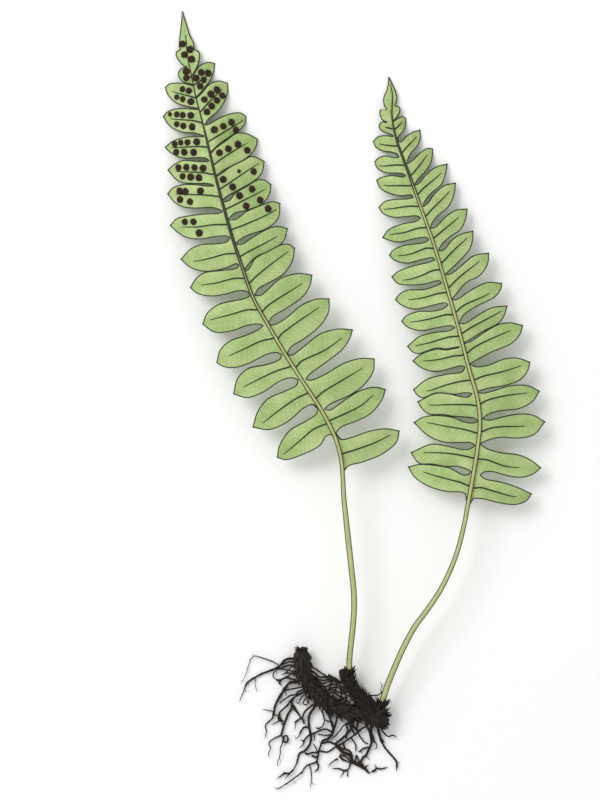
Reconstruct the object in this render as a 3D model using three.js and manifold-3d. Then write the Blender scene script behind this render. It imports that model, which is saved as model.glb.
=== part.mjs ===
// A western polypody as it is picked and laid down with the undersides of its fronds up.
// Millimetres, +Z up, +Y towards the tips of the fronds, origin on the surface below the middle of the plant
import * as THREE from 'three';
import { mergeVertices } from 'three/addons/utils/BufferGeometryUtils.js';
import Module from 'manifold-3d';

const wasm = await Module();
wasm.setup();

// Thicknesses and clearances
const BLADE_THICKNESS = 0.65;
const WEB_THICKNESS = 0.95;
const FIT_GAP = 0.3;

// How full the leaflets are: their outline from the rachis to the tip, as a share of the room each one has
const OUTLINE_AT = [0, 0.12, 0.3, 0.5, 0.68, 0.82, 0.93, 1];
const UPPER_OUTLINE = [0.9, 0.84, 0.92, 0.98, 0.9, 0.67, 0.36, 0.05];
const LOWER_OUTLINE = [0.9, 0.84, 0.92, 1.01, 1.02, 0.84, 0.48, 0.05];
const SINUS_WIDTH = 0.9;
const WIDEST_SHARE = 0.55;
const ROOT_SHARE = 0.4;
const WIDTH_STEPS = 2;
// A leaflet's midvein leaves the rachis with a hook whose curve 6.75 u (1 - u)^2 peaks at 1
const HOOK_PEAK = 6.75;
// How far on either side a surface is read for its normal, and how finely a midline's length is measured
const SURFACE_PROBE = 0.01;
const LENGTH_DIVISIONS = 800;

// How the blade is held: droop and louvre of a leaflet, and the keel over its midvein
const DROOP_POWER = 1.7;
const LOUVRE_SLOPE = 0.14;
const KEEL_HEIGHT = 0.3;

// Stalks
const STALK_SIDES = 8;
const STALK_TOP_STATION = 9;
const STALK_TOP_RADIUS = 0.3;
const STALK_TAPER = 1.15;
const STALK_STEP = 6.5;
const WING_WIDTH = 0.8;
const WEB_STEPS = 24;
const WEB_FOOT_WIDTH = 0.35;
const WEB_OVERLAP = 3;

// Spore clusters
const SORUS_RADIUS = 1.35;
const SORUS_HEIGHT = 0.75;
const SORUS_OFFSET = 0.46;
const SORUS_TOP_SHARE = 0.6;
const SORUS_SIDES = 6;

// Rhizome, its scales and its roots
const CORE_SIDES = 10;
const CORE_STEPS = 16;
const BRANCH_STEPS = 6;
const SCALE_LENGTH = 4.4;
const SCALE_WIDTH = 3;
const SCALE_THICKNESS = 1.1;
const SCALE_PITCH = 2.8;
const SCALE_LIFT = 0.42;
const SCALE_SINK = 0.65;
const SCALE_UNDERSIDE = -0.75;
const SCALE_JITTER = 0.3;
const FEWEST_SCALES = 4;
const FIRST_RING = 0.3;
const CORE_PROBE = 0.02;
const MAIN_SEED = 7;
const BRANCH_SEED = 11;
const PEG_LENGTH = 6;
const PEG_TOP_SHARE = 1.25;
const PEG_FLARE = 0.45;
const PEG_AIM = 3;
const OLD_PEG_RADIUS = 1.9;
const BROKEN_END_RADIUS = 1.3;
const STALK_CLEARANCE = 2.1;
const STALK_SAMPLES = 12;
const CORE_SAMPLES = 40;

// Roots: thickness, the ripple with which they lie, and how high they are where they leave the core
const ROOT_SIDES = 5;
const ROOT_RADIUS = 0.42;
const ROOTLET_RADIUS = 0.31;
const STEPS_PER_POINT = 1.3;
const RIPPLE_HEIGHT = 0.3;
const RIPPLE_ACROSS = 0.45;
const RIPPLE_ALONG = 0.38;
const ROOT_RISE = 2.2;
const RISE_START = 1.5;
const RISE_REACH = 4;

// What is cut off below the surface, and the smallest detail that is kept
const CUT_SIZE = 200;
const CUT_DEPTH = 20;
const CUT_CENTRE = -125;
const CLEAN_TOLERANCE = 0.02;

// The midline of each frond from its tip to its foot: x, y and the height of the blade's middle surface.
// Each leaflet: how far from the tip its midvein leaves the rachis, then x and y of its own tip.
// The end lobe: distance from the tip, then its reach to the left and to the right of the midline.
const FERTILE = {
  stalkFootRadius: 1.15,
  webEnd: 197,
  widestRoom: 5.9,
  hook: 0.8,
  droop: 7.5,
  midline: [
    [-69, 156, 0.33], [-67.5, 147, 0.9], [-66.5, 137.5, 2.2], [-65, 130, 3.4], [-63, 120.5, 5],
    [-60.5, 111, 6.6], [-58, 100.5, 8.2], [-55.2, 89, 9.8], [-52, 77, 11.2], [-48.7, 65.5, 12.4],
    [-45, 54.3, 13.3], [-40.2, 41, 14], [-34.7, 31, 14.5], [-28, 19.6, 14.8], [-20, 7, 14.8],
    [-13, -3.8, 14.6], [-7.8, -14, 14.3], [-5.4, -22, 14], [-4.5, -30, 13.6], [-4.2, -37, 13.2],
    [-2.8, -51, 12.4], [-1.2, -65.6, 11.4], [-0.1, -76.3, 10.6], [0, -83.5, 10], [-0.5, -90.6, 9.1],
    [-1.3, -97.8, 7.8], [-1.8, -103, 6.5], [-1.9, -107.4, 5.2],
  ],
  endLobe: [
    [0, 0.15, 0.15], [2.7, 0.5, 0.8], [8, 2.1, 1.8], [11.5, 2.7, 2.5], [15, 3.2, 3.4], [16, 4, 4.6],
    [18, 4.4, 5.2], [20.5, 2.6, 4.2], [23, 1.4, 2.2],
  ],
  left: [
    [24.5, -70.7, 131], [35.5, -75.7, 126], [45.5, -76.6, 114], [55, -75.7, 101.6], [66.5, -74.7, 92.5],
    [75.5, -74.7, 83], [87, -73.6, 70.5], [99.5, -69.5, 56.7], [110, -65.6, 45.3], [123.5, -60.7, 30.8],
    [136.5, -55, 15.4], [149.5, -48.3, 2.8], [162, -40.6, -10.5], [176.5, -30.8, -22.6],
  ],
  right: [
    [29, -55.6, 135.3], [41, -50.4, 127.5], [53, -43, 114], [63, -38.6, 105], [73, -35.7, 96.3],
    [82, -33, 86.5], [90, -29.4, 79.3], [101, -26.6, 69.4], [113, -23.7, 62], [125, -16.6, 50.5],
    [138, -9.8, 41.2], [151.5, -0.4, 28.6], [165.5, 8.3, 16.8], [176, 12.8, 5], [190, 18.2, -11.8],
  ],
};
const STERILE = {
  stalkFootRadius: 1.15,
  webEnd: 176,
  widestRoom: 5,
  hook: 0.7,
  droop: 6,
  midline: [
    [13.9, 129.7, 0.33], [14.7, 126.4, 0.7], [15.5, 122, 1.3], [15.2, 115.6, 2.2], [15.9, 109.2, 3.2],
    [17.7, 102.4, 4.3], [20.2, 95.7, 5.5], [23.7, 86, 7], [27.3, 75.7, 8.4], [31.4, 64.2, 9.6],
    [35.9, 49.4, 10.8], [41.3, 30.7, 11.8], [46.2, 12, 12.4], [49.3, 1.2, 12.5], [50.3, -8.7, 12.4],
    [49.3, -19.2, 12.2], [47.6, -29.8, 11.9], [45.8, -39.9, 11.6], [43.9, -50, 11.3], [40.6, -62.2, 10.9],
    [35.2, -74.4, 10.5], [29.2, -83.6, 10.1], [24.6, -89.8, 9.7], [21.1, -96, 9.2], [18.2, -102, 8.5],
    [15.6, -108.1, 7.6], [13.2, -114.2, 6.3], [12, -118, 5.3], [11.4, -120.4, 4.7],
  ],
  endLobe: [
    [0, 0.15, 0.15], [3.4, 1.1, 0.9], [8.2, 3.8, 1.7], [11.3, 3.3, 2.1], [12.8, 2.1, 1.5],
    [13.7, 4.7, 3.2], [15.5, 5, 3.3], [18, 2.4, 1.2],
  ],
  left: [
    [20.5, 9.8, 110], [28, 7.5, 104], [36.5, 8, 96], [45, 9, 88.3], [54, 9.8, 77.3], [62.5, 11.4, 65.5],
    [71.5, 14.2, 58.3], [80.5, 15, 49.5], [90, 16.6, 40.5], [99, 19, 31.8], [108, 21.4, 22],
    [116, 23.3, 16], [126.5, 23.8, 4.6], [136.5, 25.4, -0.2], [148, 23.8, -8.6], [158, 22.6, -20.5],
    [169.5, 21.8, -26.2],
  ],
  right: [
    [21.5, 21.2, 112.8], [31.5, 26.6, 108.7], [41, 31.8, 101.2], [49, 37.4, 95], [58.5, 40.8, 87.4],
    [68, 45.5, 77], [78.5, 47.8, 68], [88, 54.2, 59.3], [98.5, 59.3, 47.2], [107, 61.4, 38.2],
    [115.5, 67.6, 30.3], [127, 70.6, 15.6], [136.5, 74.3, 4.2], [147, 76.6, -8.4], [158, 75.2, -26.7],
    [170, 71.2, -37],
  ],
};

// Spore clusters of the fertile frond. For each leaflet from the tip on, the shares of its length at which
// they sit, first on the half towards the tip of the frond and then on the half towards its foot.
const SORI = {
  left: [
    [[0.3], [0.3]],
    [[0.3, 0.47], [0.12, 0.35, 0.56]],
    [[0.32, 0.5, 0.66, 0.82], [0.24, 0.46, 0.62]],
    [[0.26, 0.45, 0.62, 0.77], [0.33, 0.54, 0.73]],
    [[0.22, 0.4, 0.57, 0.75], [0.3, 0.48, 0.65]],
    [[0.36, 0.62, 0.77], [0.56, 0.75]],
    [[0.58, 0.74], [0.49]],
  ],
  right: [
    [[0.2, 0.46], [0.1, 0.33, 0.58]],
    [[0.3, 0.5, 0.69], [0.13, 0.31, 0.49, 0.67]],
    [[0.26, 0.46, 0.66], [0.63]],
    [[0.22, 0.42, 0.61], [0.71]],
    [[0.17, 0.5], [0.24, 0.72]],
    [[0.37, 0.65], [0.39, 0.66]],
    [[], [0.75]],
  ],
};
// Those on the end lobe: distance from the tip and reach to the left of the midline
const END_LOBE_SORI = [[13, 1.5], [15.2, -1.7], [17.3, 1.4], [19.3, -1.6]];

// Rhizome and its branch from the old end to the growing end: x, y, height of the middle and radius
const RHIZOME = [
  [-21, -99, 4.4, 2.7], [-20.9, -101, 4, 3.2], [-20.6, -104, 3.5, 3.2], [-19.9, -108.5, 2.9, 3],
  [-18.1, -112.5, 2.6, 2.85], [-15.5, -116.3, 2.6, 2.85], [-12.2, -119.8, 2.6, 2.85],
  [-8.3, -122.3, 2.6, 2.8], [-3.7, -124, 2.6, 2.8], [0.2, -124.8, 2.7, 2.9], [4.2, -125.4, 2.9, 3.1],
  [7.9, -126.6, 3.2, 3.5], [11, -127.4, 3.5, 3.7], [13.4, -128, 3.8, 2.9],
];
const BRANCH = [
  [9.6, -125, 3.3, 3.5], [6.2, -122.8, 3.4, 3.3], [3.2, -119.6, 3.6, 2.9], [0.2, -116, 4, 2.6],
  [-2, -112.2, 4.4, 2.3], [-3.1, -109.2, 4.7, 1.8],
];
// Bases of fronds that have dropped: x, y and height of the foot and of the broken end
const OLD_PEGS = [
  [[-3.4, -111.5, 4.2], [-5, -107.6, 5.8]],
  [[-20.8, -102.5, 3.8], [-22.2, -99.4, 5]],
  [[-20.6, -102.5, 3.8], [-20.1, -98.6, 4.8]],
  [[-9.5, -121.8, 3.6], [-8.3, -119.6, 6.4]],
];

// Roots seen from above, each from where it leaves the rhizome or another root to its end
const ROOTS = [
  [[-23.5, -104.5], [-28, -105.6], [-31.7, -107], [-36.8, -109.5], [-39.8, -111.2], [-42.6, -112.8],
    [-43.7, -115.6], [-45.5, -120]],
  [[-22.5, -103.5], [-27, -103.3], [-30.6, -105.2], [-34.2, -103.6], [-40, -102.2], [-42, -105.4],
    [-45.2, -113]],
  [[-22, -108.4], [-25, -113.5], [-28.6, -116.6], [-30.6, -119.7], [-32, -124], [-34.7, -128.8],
    [-35.5, -134.5]],
  [[-21, -113.5], [-23.5, -118.1], [-26.6, -120.2], [-30.1, -124.3], [-29.4, -128], [-32.8, -129.6]],
  [[-19.5, -115.6], [-25, -120.7], [-26.6, -126.3], [-29, -134.4], [-33.2, -136.5], [-33.6, -142.5]],
  [[-18, -117.5], [-22, -124.8], [-21, -127], [-23, -128.4], [-23.8, -132.4]],
  [[-15.3, -121.5], [-17.6, -125.8], [-17.3, -133.9], [-18, -138], [-22.5, -142.6], [-23.2, -145.7],
    [-26, -149], [-31.2, -151.3]],
  [[-13, -122.5], [-19.7, -124.6], [-20.2, -127], [-17.9, -130.6], [-20.9, -132], [-23.5, -135.7]],
  [[-9.7, -124.5], [-8.7, -128.3], [-8, -132], [-9.7, -135], [-13.3, -137], [-14.8, -144.2],
    [-18.4, -145.7], [-21, -148.8], [-25, -151.8], [-30.9, -155.2]],
  [[-6.2, -126.5], [-9, -133.6], [-16.9, -134], [-20, -136.6], [-22, -139.6]],
  [[-2.1, -127.5], [-4.6, -131.4], [-8.7, -136], [-12.8, -137.5]],
  [[0.5, -127.5], [0.5, -131.9], [-3.1, -135.5], [-7.2, -137.8], [-4.6, -140.6], [-0.5, -143.6],
    [5.3, -148.3]],
  [[2, -128], [1.8, -131.9], [3, -135], [5.6, -137]],
  [[6.1, -129], [7.1, -136.5], [5.6, -139.5], [2.5, -144.7]],
  [[10.2, -129.5], [11.2, -136.5], [14.3, -140.6], [17.1, -145.2], [17, -148.5]],
  [[11.7, -130], [13.7, -133.6], [16.8, -134.4]],
  [[-4.6, -137.6], [-3.2, -134.4], [1.2, -131.8], [6.6, -131.2], [11, -131.6]],
  [[-17.5, -107], [-13, -108.2], [-9.2, -110], [-5, -112.3]],
  [[-16, -111.3], [-10.5, -112.6], [-6, -114.3], [-2, -116]],
  [[-14, -115], [-9, -116], [-4.5, -117.3], [0, -119]],
];
const ROOTLETS = [
  [[-39.6, -111.2], [-39.3, -113.5], [-38.5, -116.6]],
  [[-32.2, -124.3], [-36.8, -123.3]],
  [[-29, -134.4], [-29.4, -140.6], [-30.6, -146.2]],
  [[-14.8, -144.2], [-14.2, -146.7], [-15.6, -148.6]],
  [[-18, -145.6], [-17, -150.3], [-17.4, -155]],
  [[-0.5, -143.6], [-2.4, -147.4], [-6.2, -147], [-9.2, -147.6]],
  [[4.1, -145.6], [8.1, -147.2], [13.2, -146.4]],
  [[5.6, -139.5], [2.2, -140.2]],
];

// A repeatable random number from 0 to 1
function seededRandom(seed) {
  let state = seed;
  return () => {
    state = (state * 1664525 + 1013904223) % 4294967296;
    return state / 4294967296;
  };
}

function smoothStep(value, end) {
  return THREE.MathUtils.smoothstep(value, 0, end);
}

// Straight-line reading of a value between the rows of a short list
function readBetween(stations, values, station) {
  const last = stations.length - 1;
  if (station <= stations[0]) return values[0];
  if (station >= stations[last]) return values[last];
  const next = stations.findIndex((edge) => edge >= station);
  const share = (station - stations[next - 1]) / (stations[next] - stations[next - 1]);
  return THREE.MathUtils.lerp(values[next - 1], values[next], share);
}

// A closed geometry as a solid that can be joined and cut
function solidOf(geometry) {
  const bare = geometry.clone();
  bare.deleteAttribute('normal');
  bare.deleteAttribute('uv');
  const merged = mergeVertices(bare);
  return new wasm.Manifold(new wasm.Mesh({
    numProp: 3,
    vertProperties: new Float32Array(merged.attributes.position.array),
    triVerts: new Uint32Array(merged.index.array),
  }));
}

function join(solids) {
  return solids.reduce((whole, solid) => whole.add(solid));
}

// The largest piece of a solid without slivers. A loose scrap is dropped.
function onePiece(solid) {
  const larger = (one, other) => (other.volume() > one.volume() ? other : one);
  const largest = solid.decompose().reduce(larger);
  return largest.asOriginal().simplify(CLEAN_TOLERANCE);
}

function namedMesh(name, solid, look) {
  const { vertProperties, triVerts } = solid.getMesh();
  const geometry = new THREE.BufferGeometry();
  geometry.setAttribute('position', new THREE.BufferAttribute(vertProperties, 3));
  geometry.setIndex(new THREE.BufferAttribute(triVerts, 1));
  geometry.computeVertexNormals();
  const mesh = new THREE.Mesh(geometry, new THREE.MeshStandardMaterial(look));
  mesh.name = name;
  return mesh;
}

// Splits the back face of a box along the same diagonals as its front face, so that a bent box keeps its
// thickness. The faces of a box are pairs of triangles, and the back is the last of its six groups.
function matchDiagonals(box) {
  const back = box.groups[5];
  for (let k = back.start; k < back.start + back.count; k += 6) {
    const [a, b, c, d] = [0, 1, 4, 2].map((step) => box.index.getX(k + step));
    [a, b, c, a, c, d].forEach((corner, step) => box.index.setX(k + step, corner));
  }
}

// A thin sheet from a flat box. surface(u, v) is its middle surface, with u from 0 to 1 and v from -1 to 1.
function bentSheet(surface, lengthAt, thickness) {
  const steps = lengthAt.length - 1;
  const box = new THREE.BoxGeometry(1, 2, 1, steps, WIDTH_STEPS, 1);
  matchDiagonals(box);
  const place = box.attributes.position;
  const probe = SURFACE_PROBE;
  for (let i = 0; i < place.count; i += 1) {
    const u = lengthAt[Math.round((place.getX(i) + 0.5) * steps)];
    const v = place.getY(i);
    const middle = surface(u, v);
    const alongU = surface(Math.min(u + probe, 1), v).sub(surface(Math.max(u - probe, 0), v));
    const alongV = surface(u, Math.min(v + probe, 1)).sub(surface(u, Math.max(v - probe, -1)));
    const normal = alongU.cross(alongV).normalize();
    place.setXYZ(i, ...middle.addScaledVector(normal, place.getZ(i) * thickness));
  }
  return solidOf(box);
}

// A tube with closed ends. route(t) is its centre and radiusAt(t) its radius, with t from 0 to 1.
function taperedTube(route, radiusAt, sides, steps) {
  const tube = new THREE.CylinderGeometry(1, 1, 1, sides, steps);
  const place = tube.attributes.position;
  const reach = 0.5 / steps;
  for (let i = 0; i < place.count; i += 1) {
    const t = place.getY(i) + 0.5;
    const along = route(Math.min(t + reach, 1)).sub(route(Math.max(t - reach, 0))).normalize();
    const right = new THREE.Vector3(along.y, -along.x, 0).normalize();
    const up = right.clone().cross(along);
    const point = route(t);
    point.addScaledVector(right, place.getX(i) * radiusAt(t));
    point.addScaledVector(up, place.getZ(i) * radiusAt(t));
    place.setXYZ(i, point.x, point.y, point.z);
  }
  return solidOf(tube);
}

function smoothCurve(points) {
  const corners = points.map((point) => new THREE.Vector3(...point));
  return new THREE.CatmullRomCurve3(corners, false, 'centripetal');
}

// A frond's midline with its length, and the place, the direction to the tip and the left-hand side at a
// distance from the tip
function spineOf(frond) {
  const curve = smoothCurve(frond.midline);
  curve.arcLengthDivisions = LENGTH_DIVISIONS;
  const length = curve.getLength();
  const at = (station) => {
    const share = THREE.MathUtils.clamp(station / length, 0, 1);
    const forward = curve.getTangentAt(share).negate();
    const left = new THREE.Vector3(-forward.y, forward.x, 0).normalize();
    return { point: curve.getPointAt(share), forward, left };
  };
  return { length, at };
}

function stalkRadius(frond, spine, station) {
  const share = Math.max(station - STALK_TOP_STATION, 0) / (spine.length - STALK_TOP_STATION);
  return THREE.MathUtils.lerp(STALK_TOP_RADIUS, frond.stalkFootRadius, share ** STALK_TAPER);
}

// The stalk runs on top of the blade, a small gap above it
function stalkCentre(frond, spine, station) {
  const rise = WEB_THICKNESS / 2 + FIT_GAP + stalkRadius(frond, spine, station);
  return spine.at(station).point.add(new THREE.Vector3(0, 0, rise));
}

function stalkSolid(frond, spine) {
  const station = (t) => THREE.MathUtils.lerp(STALK_TOP_STATION, spine.length, t);
  const steps = Math.round((spine.length - STALK_TOP_STATION) / STALK_STEP);
  return taperedTube(
    (t) => stalkCentre(frond, spine, station(1 - t)),
    (t) => stalkRadius(frond, spine, station(1 - t)),
    STALK_SIDES,
    steps,
  );
}

// The room of each leaflet on either side of its midvein, from the midveins of its neighbours
function leafletRows(frond, spine, rows, side) {
  const roots = rows.map(([station]) => spine.at(station).point);
  const tips = rows.map(([, x, y]) => new THREE.Vector3(x, y, 0));
  const middles = rows.map((row, i) => roots[i].clone().setZ(0).lerp(tips[i], WIDEST_SHARE));
  const room = (i, j) => {
    const chord = tips[i].clone().sub(roots[i]).setZ(0).normalize();
    const apart = middles[j].clone().sub(middles[i]);
    return Math.min(Math.abs(chord.x * apart.y - chord.y * apart.x) / 2, frond.widestRoom);
  };
  return rows.map(([station], i) => {
    const above = i > 0 ? i - 1 : i + 1;
    const below = i < rows.length - 1 ? i + 1 : i - 1;
    return {
      side,
      station,
      tip: tips[i],
      upperRoom: room(i, above),
      lowerRoom: room(i, below),
      upperRoot: Math.abs(rows[above][0] - station) / 2,
      lowerRoot: Math.abs(rows[below][0] - station) / 2,
    };
  });
}

// The middle surface of one leaflet: u runs from the rachis to its tip and v from its lower to its upper
// margin, upper being the margin nearer the tip of the frond
function leafletSurface(frond, spine, leaflet) {
  const { point: root, forward, left } = spine.at(leaflet.station);
  const webHalf = stalkRadius(frond, spine, leaflet.station) + WING_WIDTH;
  const start = root.clone().addScaledVector(left, leaflet.side * webHalf * ROOT_SHARE);
  const slope = forward.z / Math.hypot(forward.x, forward.y);
  const along = forward.clone().setZ(0).normalize();
  const chord = leaflet.tip.clone().sub(start).setZ(0);
  const upper = new THREE.Vector3(-chord.y, chord.x, 0).normalize().multiplyScalar(-leaflet.side);
  const midvein = (u) => start.clone().addScaledVector(chord, u)
    .addScaledVector(upper, frond.hook * HOOK_PEAK * u * (1 - u) ** 2);
  return (u, v) => {
    const turn = smoothStep(u, ROOT_SHARE);
    const across = along.clone().lerp(upper, turn).normalize();
    const room = v > 0 ? leaflet.upperRoom : leaflet.lowerRoom;
    const rootRoom = (v > 0 ? leaflet.upperRoot : leaflet.lowerRoot) - SINUS_WIDTH / 2;
    const outline = readBetween(OUTLINE_AT, v > 0 ? UPPER_OUTLINE : LOWER_OUTLINE, u);
    const half = THREE.MathUtils.lerp(rootRoom, room, turn) * outline;
    const place = midvein(u).addScaledVector(across, v * half);
    const fromRoot = place.clone().sub(root).dot(along);
    const droop = Math.min(frond.droop, root.z) * u ** DROOP_POWER;
    const keel = KEEL_HEIGHT * (1 - Math.abs(v)) * turn;
    const height = root.z + slope * fromRoot - droop + LOUVRE_SLOPE * v * half * turn + keel;
    return place.setZ(Math.max(height, BLADE_THICKNESS / 2));
  };
}

// The green web that joins the leaflets under the rachis, narrowing at its foot
function webSurface(frond, spine, topStation) {
  return (u, v) => {
    const station = THREE.MathUtils.lerp(frond.webEnd, topStation, u);
    const { point, left } = spine.at(station);
    const opening = THREE.MathUtils.lerp(WEB_FOOT_WIDTH, 1, smoothStep(u, 1 / WEB_STEPS));
    const half = (stalkRadius(frond, spine, station) + WING_WIDTH) * opening;
    return point.addScaledVector(left, v * half);
  };
}

// The lobed end of the frond
function endLobeSurface(frond, spine) {
  const stations = frond.endLobe.map(([station]) => station);
  const foot = stations[stations.length - 1];
  return (u, v) => {
    const station = foot * (1 - u);
    const reach = frond.endLobe.map(([, toLeft, toRight]) => (v > 0 ? toLeft : toRight));
    const { point, left } = spine.at(station);
    point.addScaledVector(left, v * readBetween(stations, reach, station));
    return point.setZ(Math.max(point.z, BLADE_THICKNESS / 2));
  };
}

// One spore cluster as a low dome that stands out of the blade at a place on its middle surface
function sorus(place) {
  const rise = BLADE_THICKNESS / 2 + SORUS_HEIGHT;
  const dome = new THREE.CylinderGeometry(SORUS_RADIUS * SORUS_TOP_SHARE, SORUS_RADIUS, rise, SORUS_SIDES);
  dome.rotateX(Math.PI / 2);
  dome.translate(place.x, place.y, place.z + rise / 2);
  return solidOf(dome);
}

function leafletSori(surface, [upper, lower]) {
  return [
    ...upper.map((u) => sorus(surface(u, SORUS_OFFSET))),
    ...lower.map((u) => sorus(surface(u, -SORUS_OFFSET))),
  ];
}

// All the green of a frond, with its spore clusters if it has any
function bladeSolid(frond, spine, sori) {
  const endStations = frond.endLobe.map(([station]) => station);
  const endFoot = endStations[endStations.length - 1];
  const endSteps = endStations.map((station) => 1 - station / endFoot).reverse();
  const webTop = endFoot - WEB_OVERLAP;
  const webSteps = Array.from({ length: WEB_STEPS + 1 }, (_, i) => i / WEB_STEPS);
  const pieces = [
    bentSheet(webSurface(frond, spine, webTop), webSteps, WEB_THICKNESS),
    bentSheet(endLobeSurface(frond, spine), endSteps, BLADE_THICKNESS),
  ];
  for (const [name, side] of [['left', 1], ['right', -1]]) {
    leafletRows(frond, spine, frond[name], side).forEach((leaflet, i) => {
      const surface = leafletSurface(frond, spine, leaflet);
      pieces.push(bentSheet(surface, OUTLINE_AT, BLADE_THICKNESS));
      if (sori && sori[name][i]) pieces.push(...leafletSori(surface, sori[name][i]));
    });
  }
  if (sori) {
    for (const [station, toLeft] of END_LOBE_SORI) {
      const { point, left } = spine.at(station);
      pieces.push(sorus(point.addScaledVector(left, toLeft)));
    }
  }
  return onePiece(join(pieces));
}

// A curve with a radius along it, for the rhizome and its branch
function thickLine(rows) {
  const curve = smoothCurve(rows.map(([x, y, z]) => [x, y, z]));
  const radii = rows.map(([, , , radius]) => radius);
  const shares = rows.map((row, i) => i / (rows.length - 1));
  return {
    route: (t) => curve.getPoint(t),
    radiusAt: (t) => readBetween(shares, radii, t),
    length: curve.getLength(),
  };
}

// One pointed scale that leaves the core at an angle round it and leans towards the growing end
function rhizomeScale(line, t, angle, lean) {
  const ahead = line.route(Math.min(t + CORE_PROBE, 1));
  const along = ahead.sub(line.route(Math.max(t - CORE_PROBE, 0))).normalize();
  const right = new THREE.Vector3(along.y, -along.x, 0).normalize();
  const up = right.clone().cross(along);
  const outward = right.clone().multiplyScalar(Math.cos(angle)).addScaledVector(up, Math.sin(angle));
  const pointing = along.clone().multiplyScalar(Math.cos(lean)).addScaledVector(outward, Math.sin(lean));
  const flat = pointing.clone().cross(outward).normalize();
  const face = flat.clone().cross(pointing);
  const blade = new THREE.ConeGeometry(1, 1, 3, 1);
  blade.scale(SCALE_WIDTH / 2, SCALE_LENGTH, SCALE_THICKNESS / 2);
  const foot = line.route(t).addScaledVector(outward, line.radiusAt(t) - SCALE_SINK);
  const middle = foot.clone().addScaledVector(pointing, SCALE_LENGTH / 2);
  const tip = foot.addScaledVector(pointing, SCALE_LENGTH);
  blade.applyMatrix4(new THREE.Matrix4().makeBasis(flat, pointing, face).setPosition(middle));
  return { solid: solidOf(blade), tip };
}

// Scales in staggered rings along a core, none on the underside that it lies on or against a stalk
function scaleCoat(line, seed, stalkLine) {
  const random = seededRandom(seed);
  const rings = Math.round(line.length / SCALE_PITCH);
  const scales = [];
  for (let ring = 0; ring < rings; ring += 1) {
    const t = (ring + FIRST_RING) / rings;
    const around = Math.max(FEWEST_SCALES, Math.round((2 * Math.PI * line.radiusAt(t)) / SCALE_PITCH));
    for (let i = 0; i < around; i += 1) {
      const angle = ((i + (ring % 2) / 2 + random() * SCALE_JITTER) / around) * 2 * Math.PI;
      const lean = SCALE_LIFT + (random() - 0.5) * SCALE_JITTER;
      const { solid, tip } = rhizomeScale(line, t, angle, lean);
      const isClear = stalkLine.every((point) => point.distanceTo(tip) > STALK_CLEARANCE);
      if (Math.sin(angle) > SCALE_UNDERSIDE && isClear) scales.push(solid);
    }
  }
  return scales;
}

// Height of the roots: they come down from the rhizome and then lie on the surface with a slight ripple
function rootHeight(x, y, coreLine) {
  const fromCore = Math.min(...coreLine.map((point) => Math.hypot(point.x - x, point.y - y)));
  const ripple = RIPPLE_HEIGHT * (1 + Math.sin(x * RIPPLE_ACROSS) * Math.cos(y * RIPPLE_ALONG));
  const rise = ROOT_RISE * Math.exp(-Math.max(fromCore - RISE_START, 0) / RISE_REACH);
  return ROOT_RADIUS + ripple + rise;
}

// A root along its route. One that leaves the rhizome starts on the middle line of the core.
function rootSolid(route, coreLine, startRadius, leavesRhizome) {
  const plan = route.map(([x, y]) => new THREE.Vector3(x, y, 0));
  if (leavesRhizome) {
    const nearest = coreLine.reduce((best, point) => (
      point.distanceTo(plan[0]) < best.distanceTo(plan[0]) ? point : best));
    plan.unshift(nearest.clone());
  }
  const curve = new THREE.CatmullRomCurve3(plan, false, 'centripetal');
  const lifted = (t) => {
    const point = curve.getPoint(t);
    return point.setZ(rootHeight(point.x, point.y, coreLine));
  };
  const radius = (t) => THREE.MathUtils.lerp(startRadius, ROOTLET_RADIUS, t);
  return taperedTube(lifted, radius, ROOT_SIDES, Math.round(plan.length * STEPS_PER_POINT));
}

// The peg that carries a frond: it goes on from the foot of the stalk, a small gap away, into the rhizome
function frondPeg(frond, spine) {
  const foot = stalkCentre(frond, spine, spine.length);
  const above = stalkCentre(frond, spine, spine.length - PEG_AIM);
  const down = foot.clone().sub(above).normalize();
  const top = foot.clone().addScaledVector(down, FIT_GAP);
  return taperedTube(
    (t) => top.clone().addScaledVector(down, (1 - t) * PEG_LENGTH),
    (t) => frond.stalkFootRadius * (PEG_TOP_SHARE + PEG_FLARE * (1 - t)),
    STALK_SIDES,
    1,
  );
}

// The stub of a frond that has dropped
function oldPeg([foot, end]) {
  const from = new THREE.Vector3(...foot);
  const to = new THREE.Vector3(...end);
  const radius = (t) => THREE.MathUtils.lerp(OLD_PEG_RADIUS, BROKEN_END_RADIUS, t);
  return taperedTube((t) => from.clone().lerp(to, t), radius, ROOT_SIDES + 1, 1);
}

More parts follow.
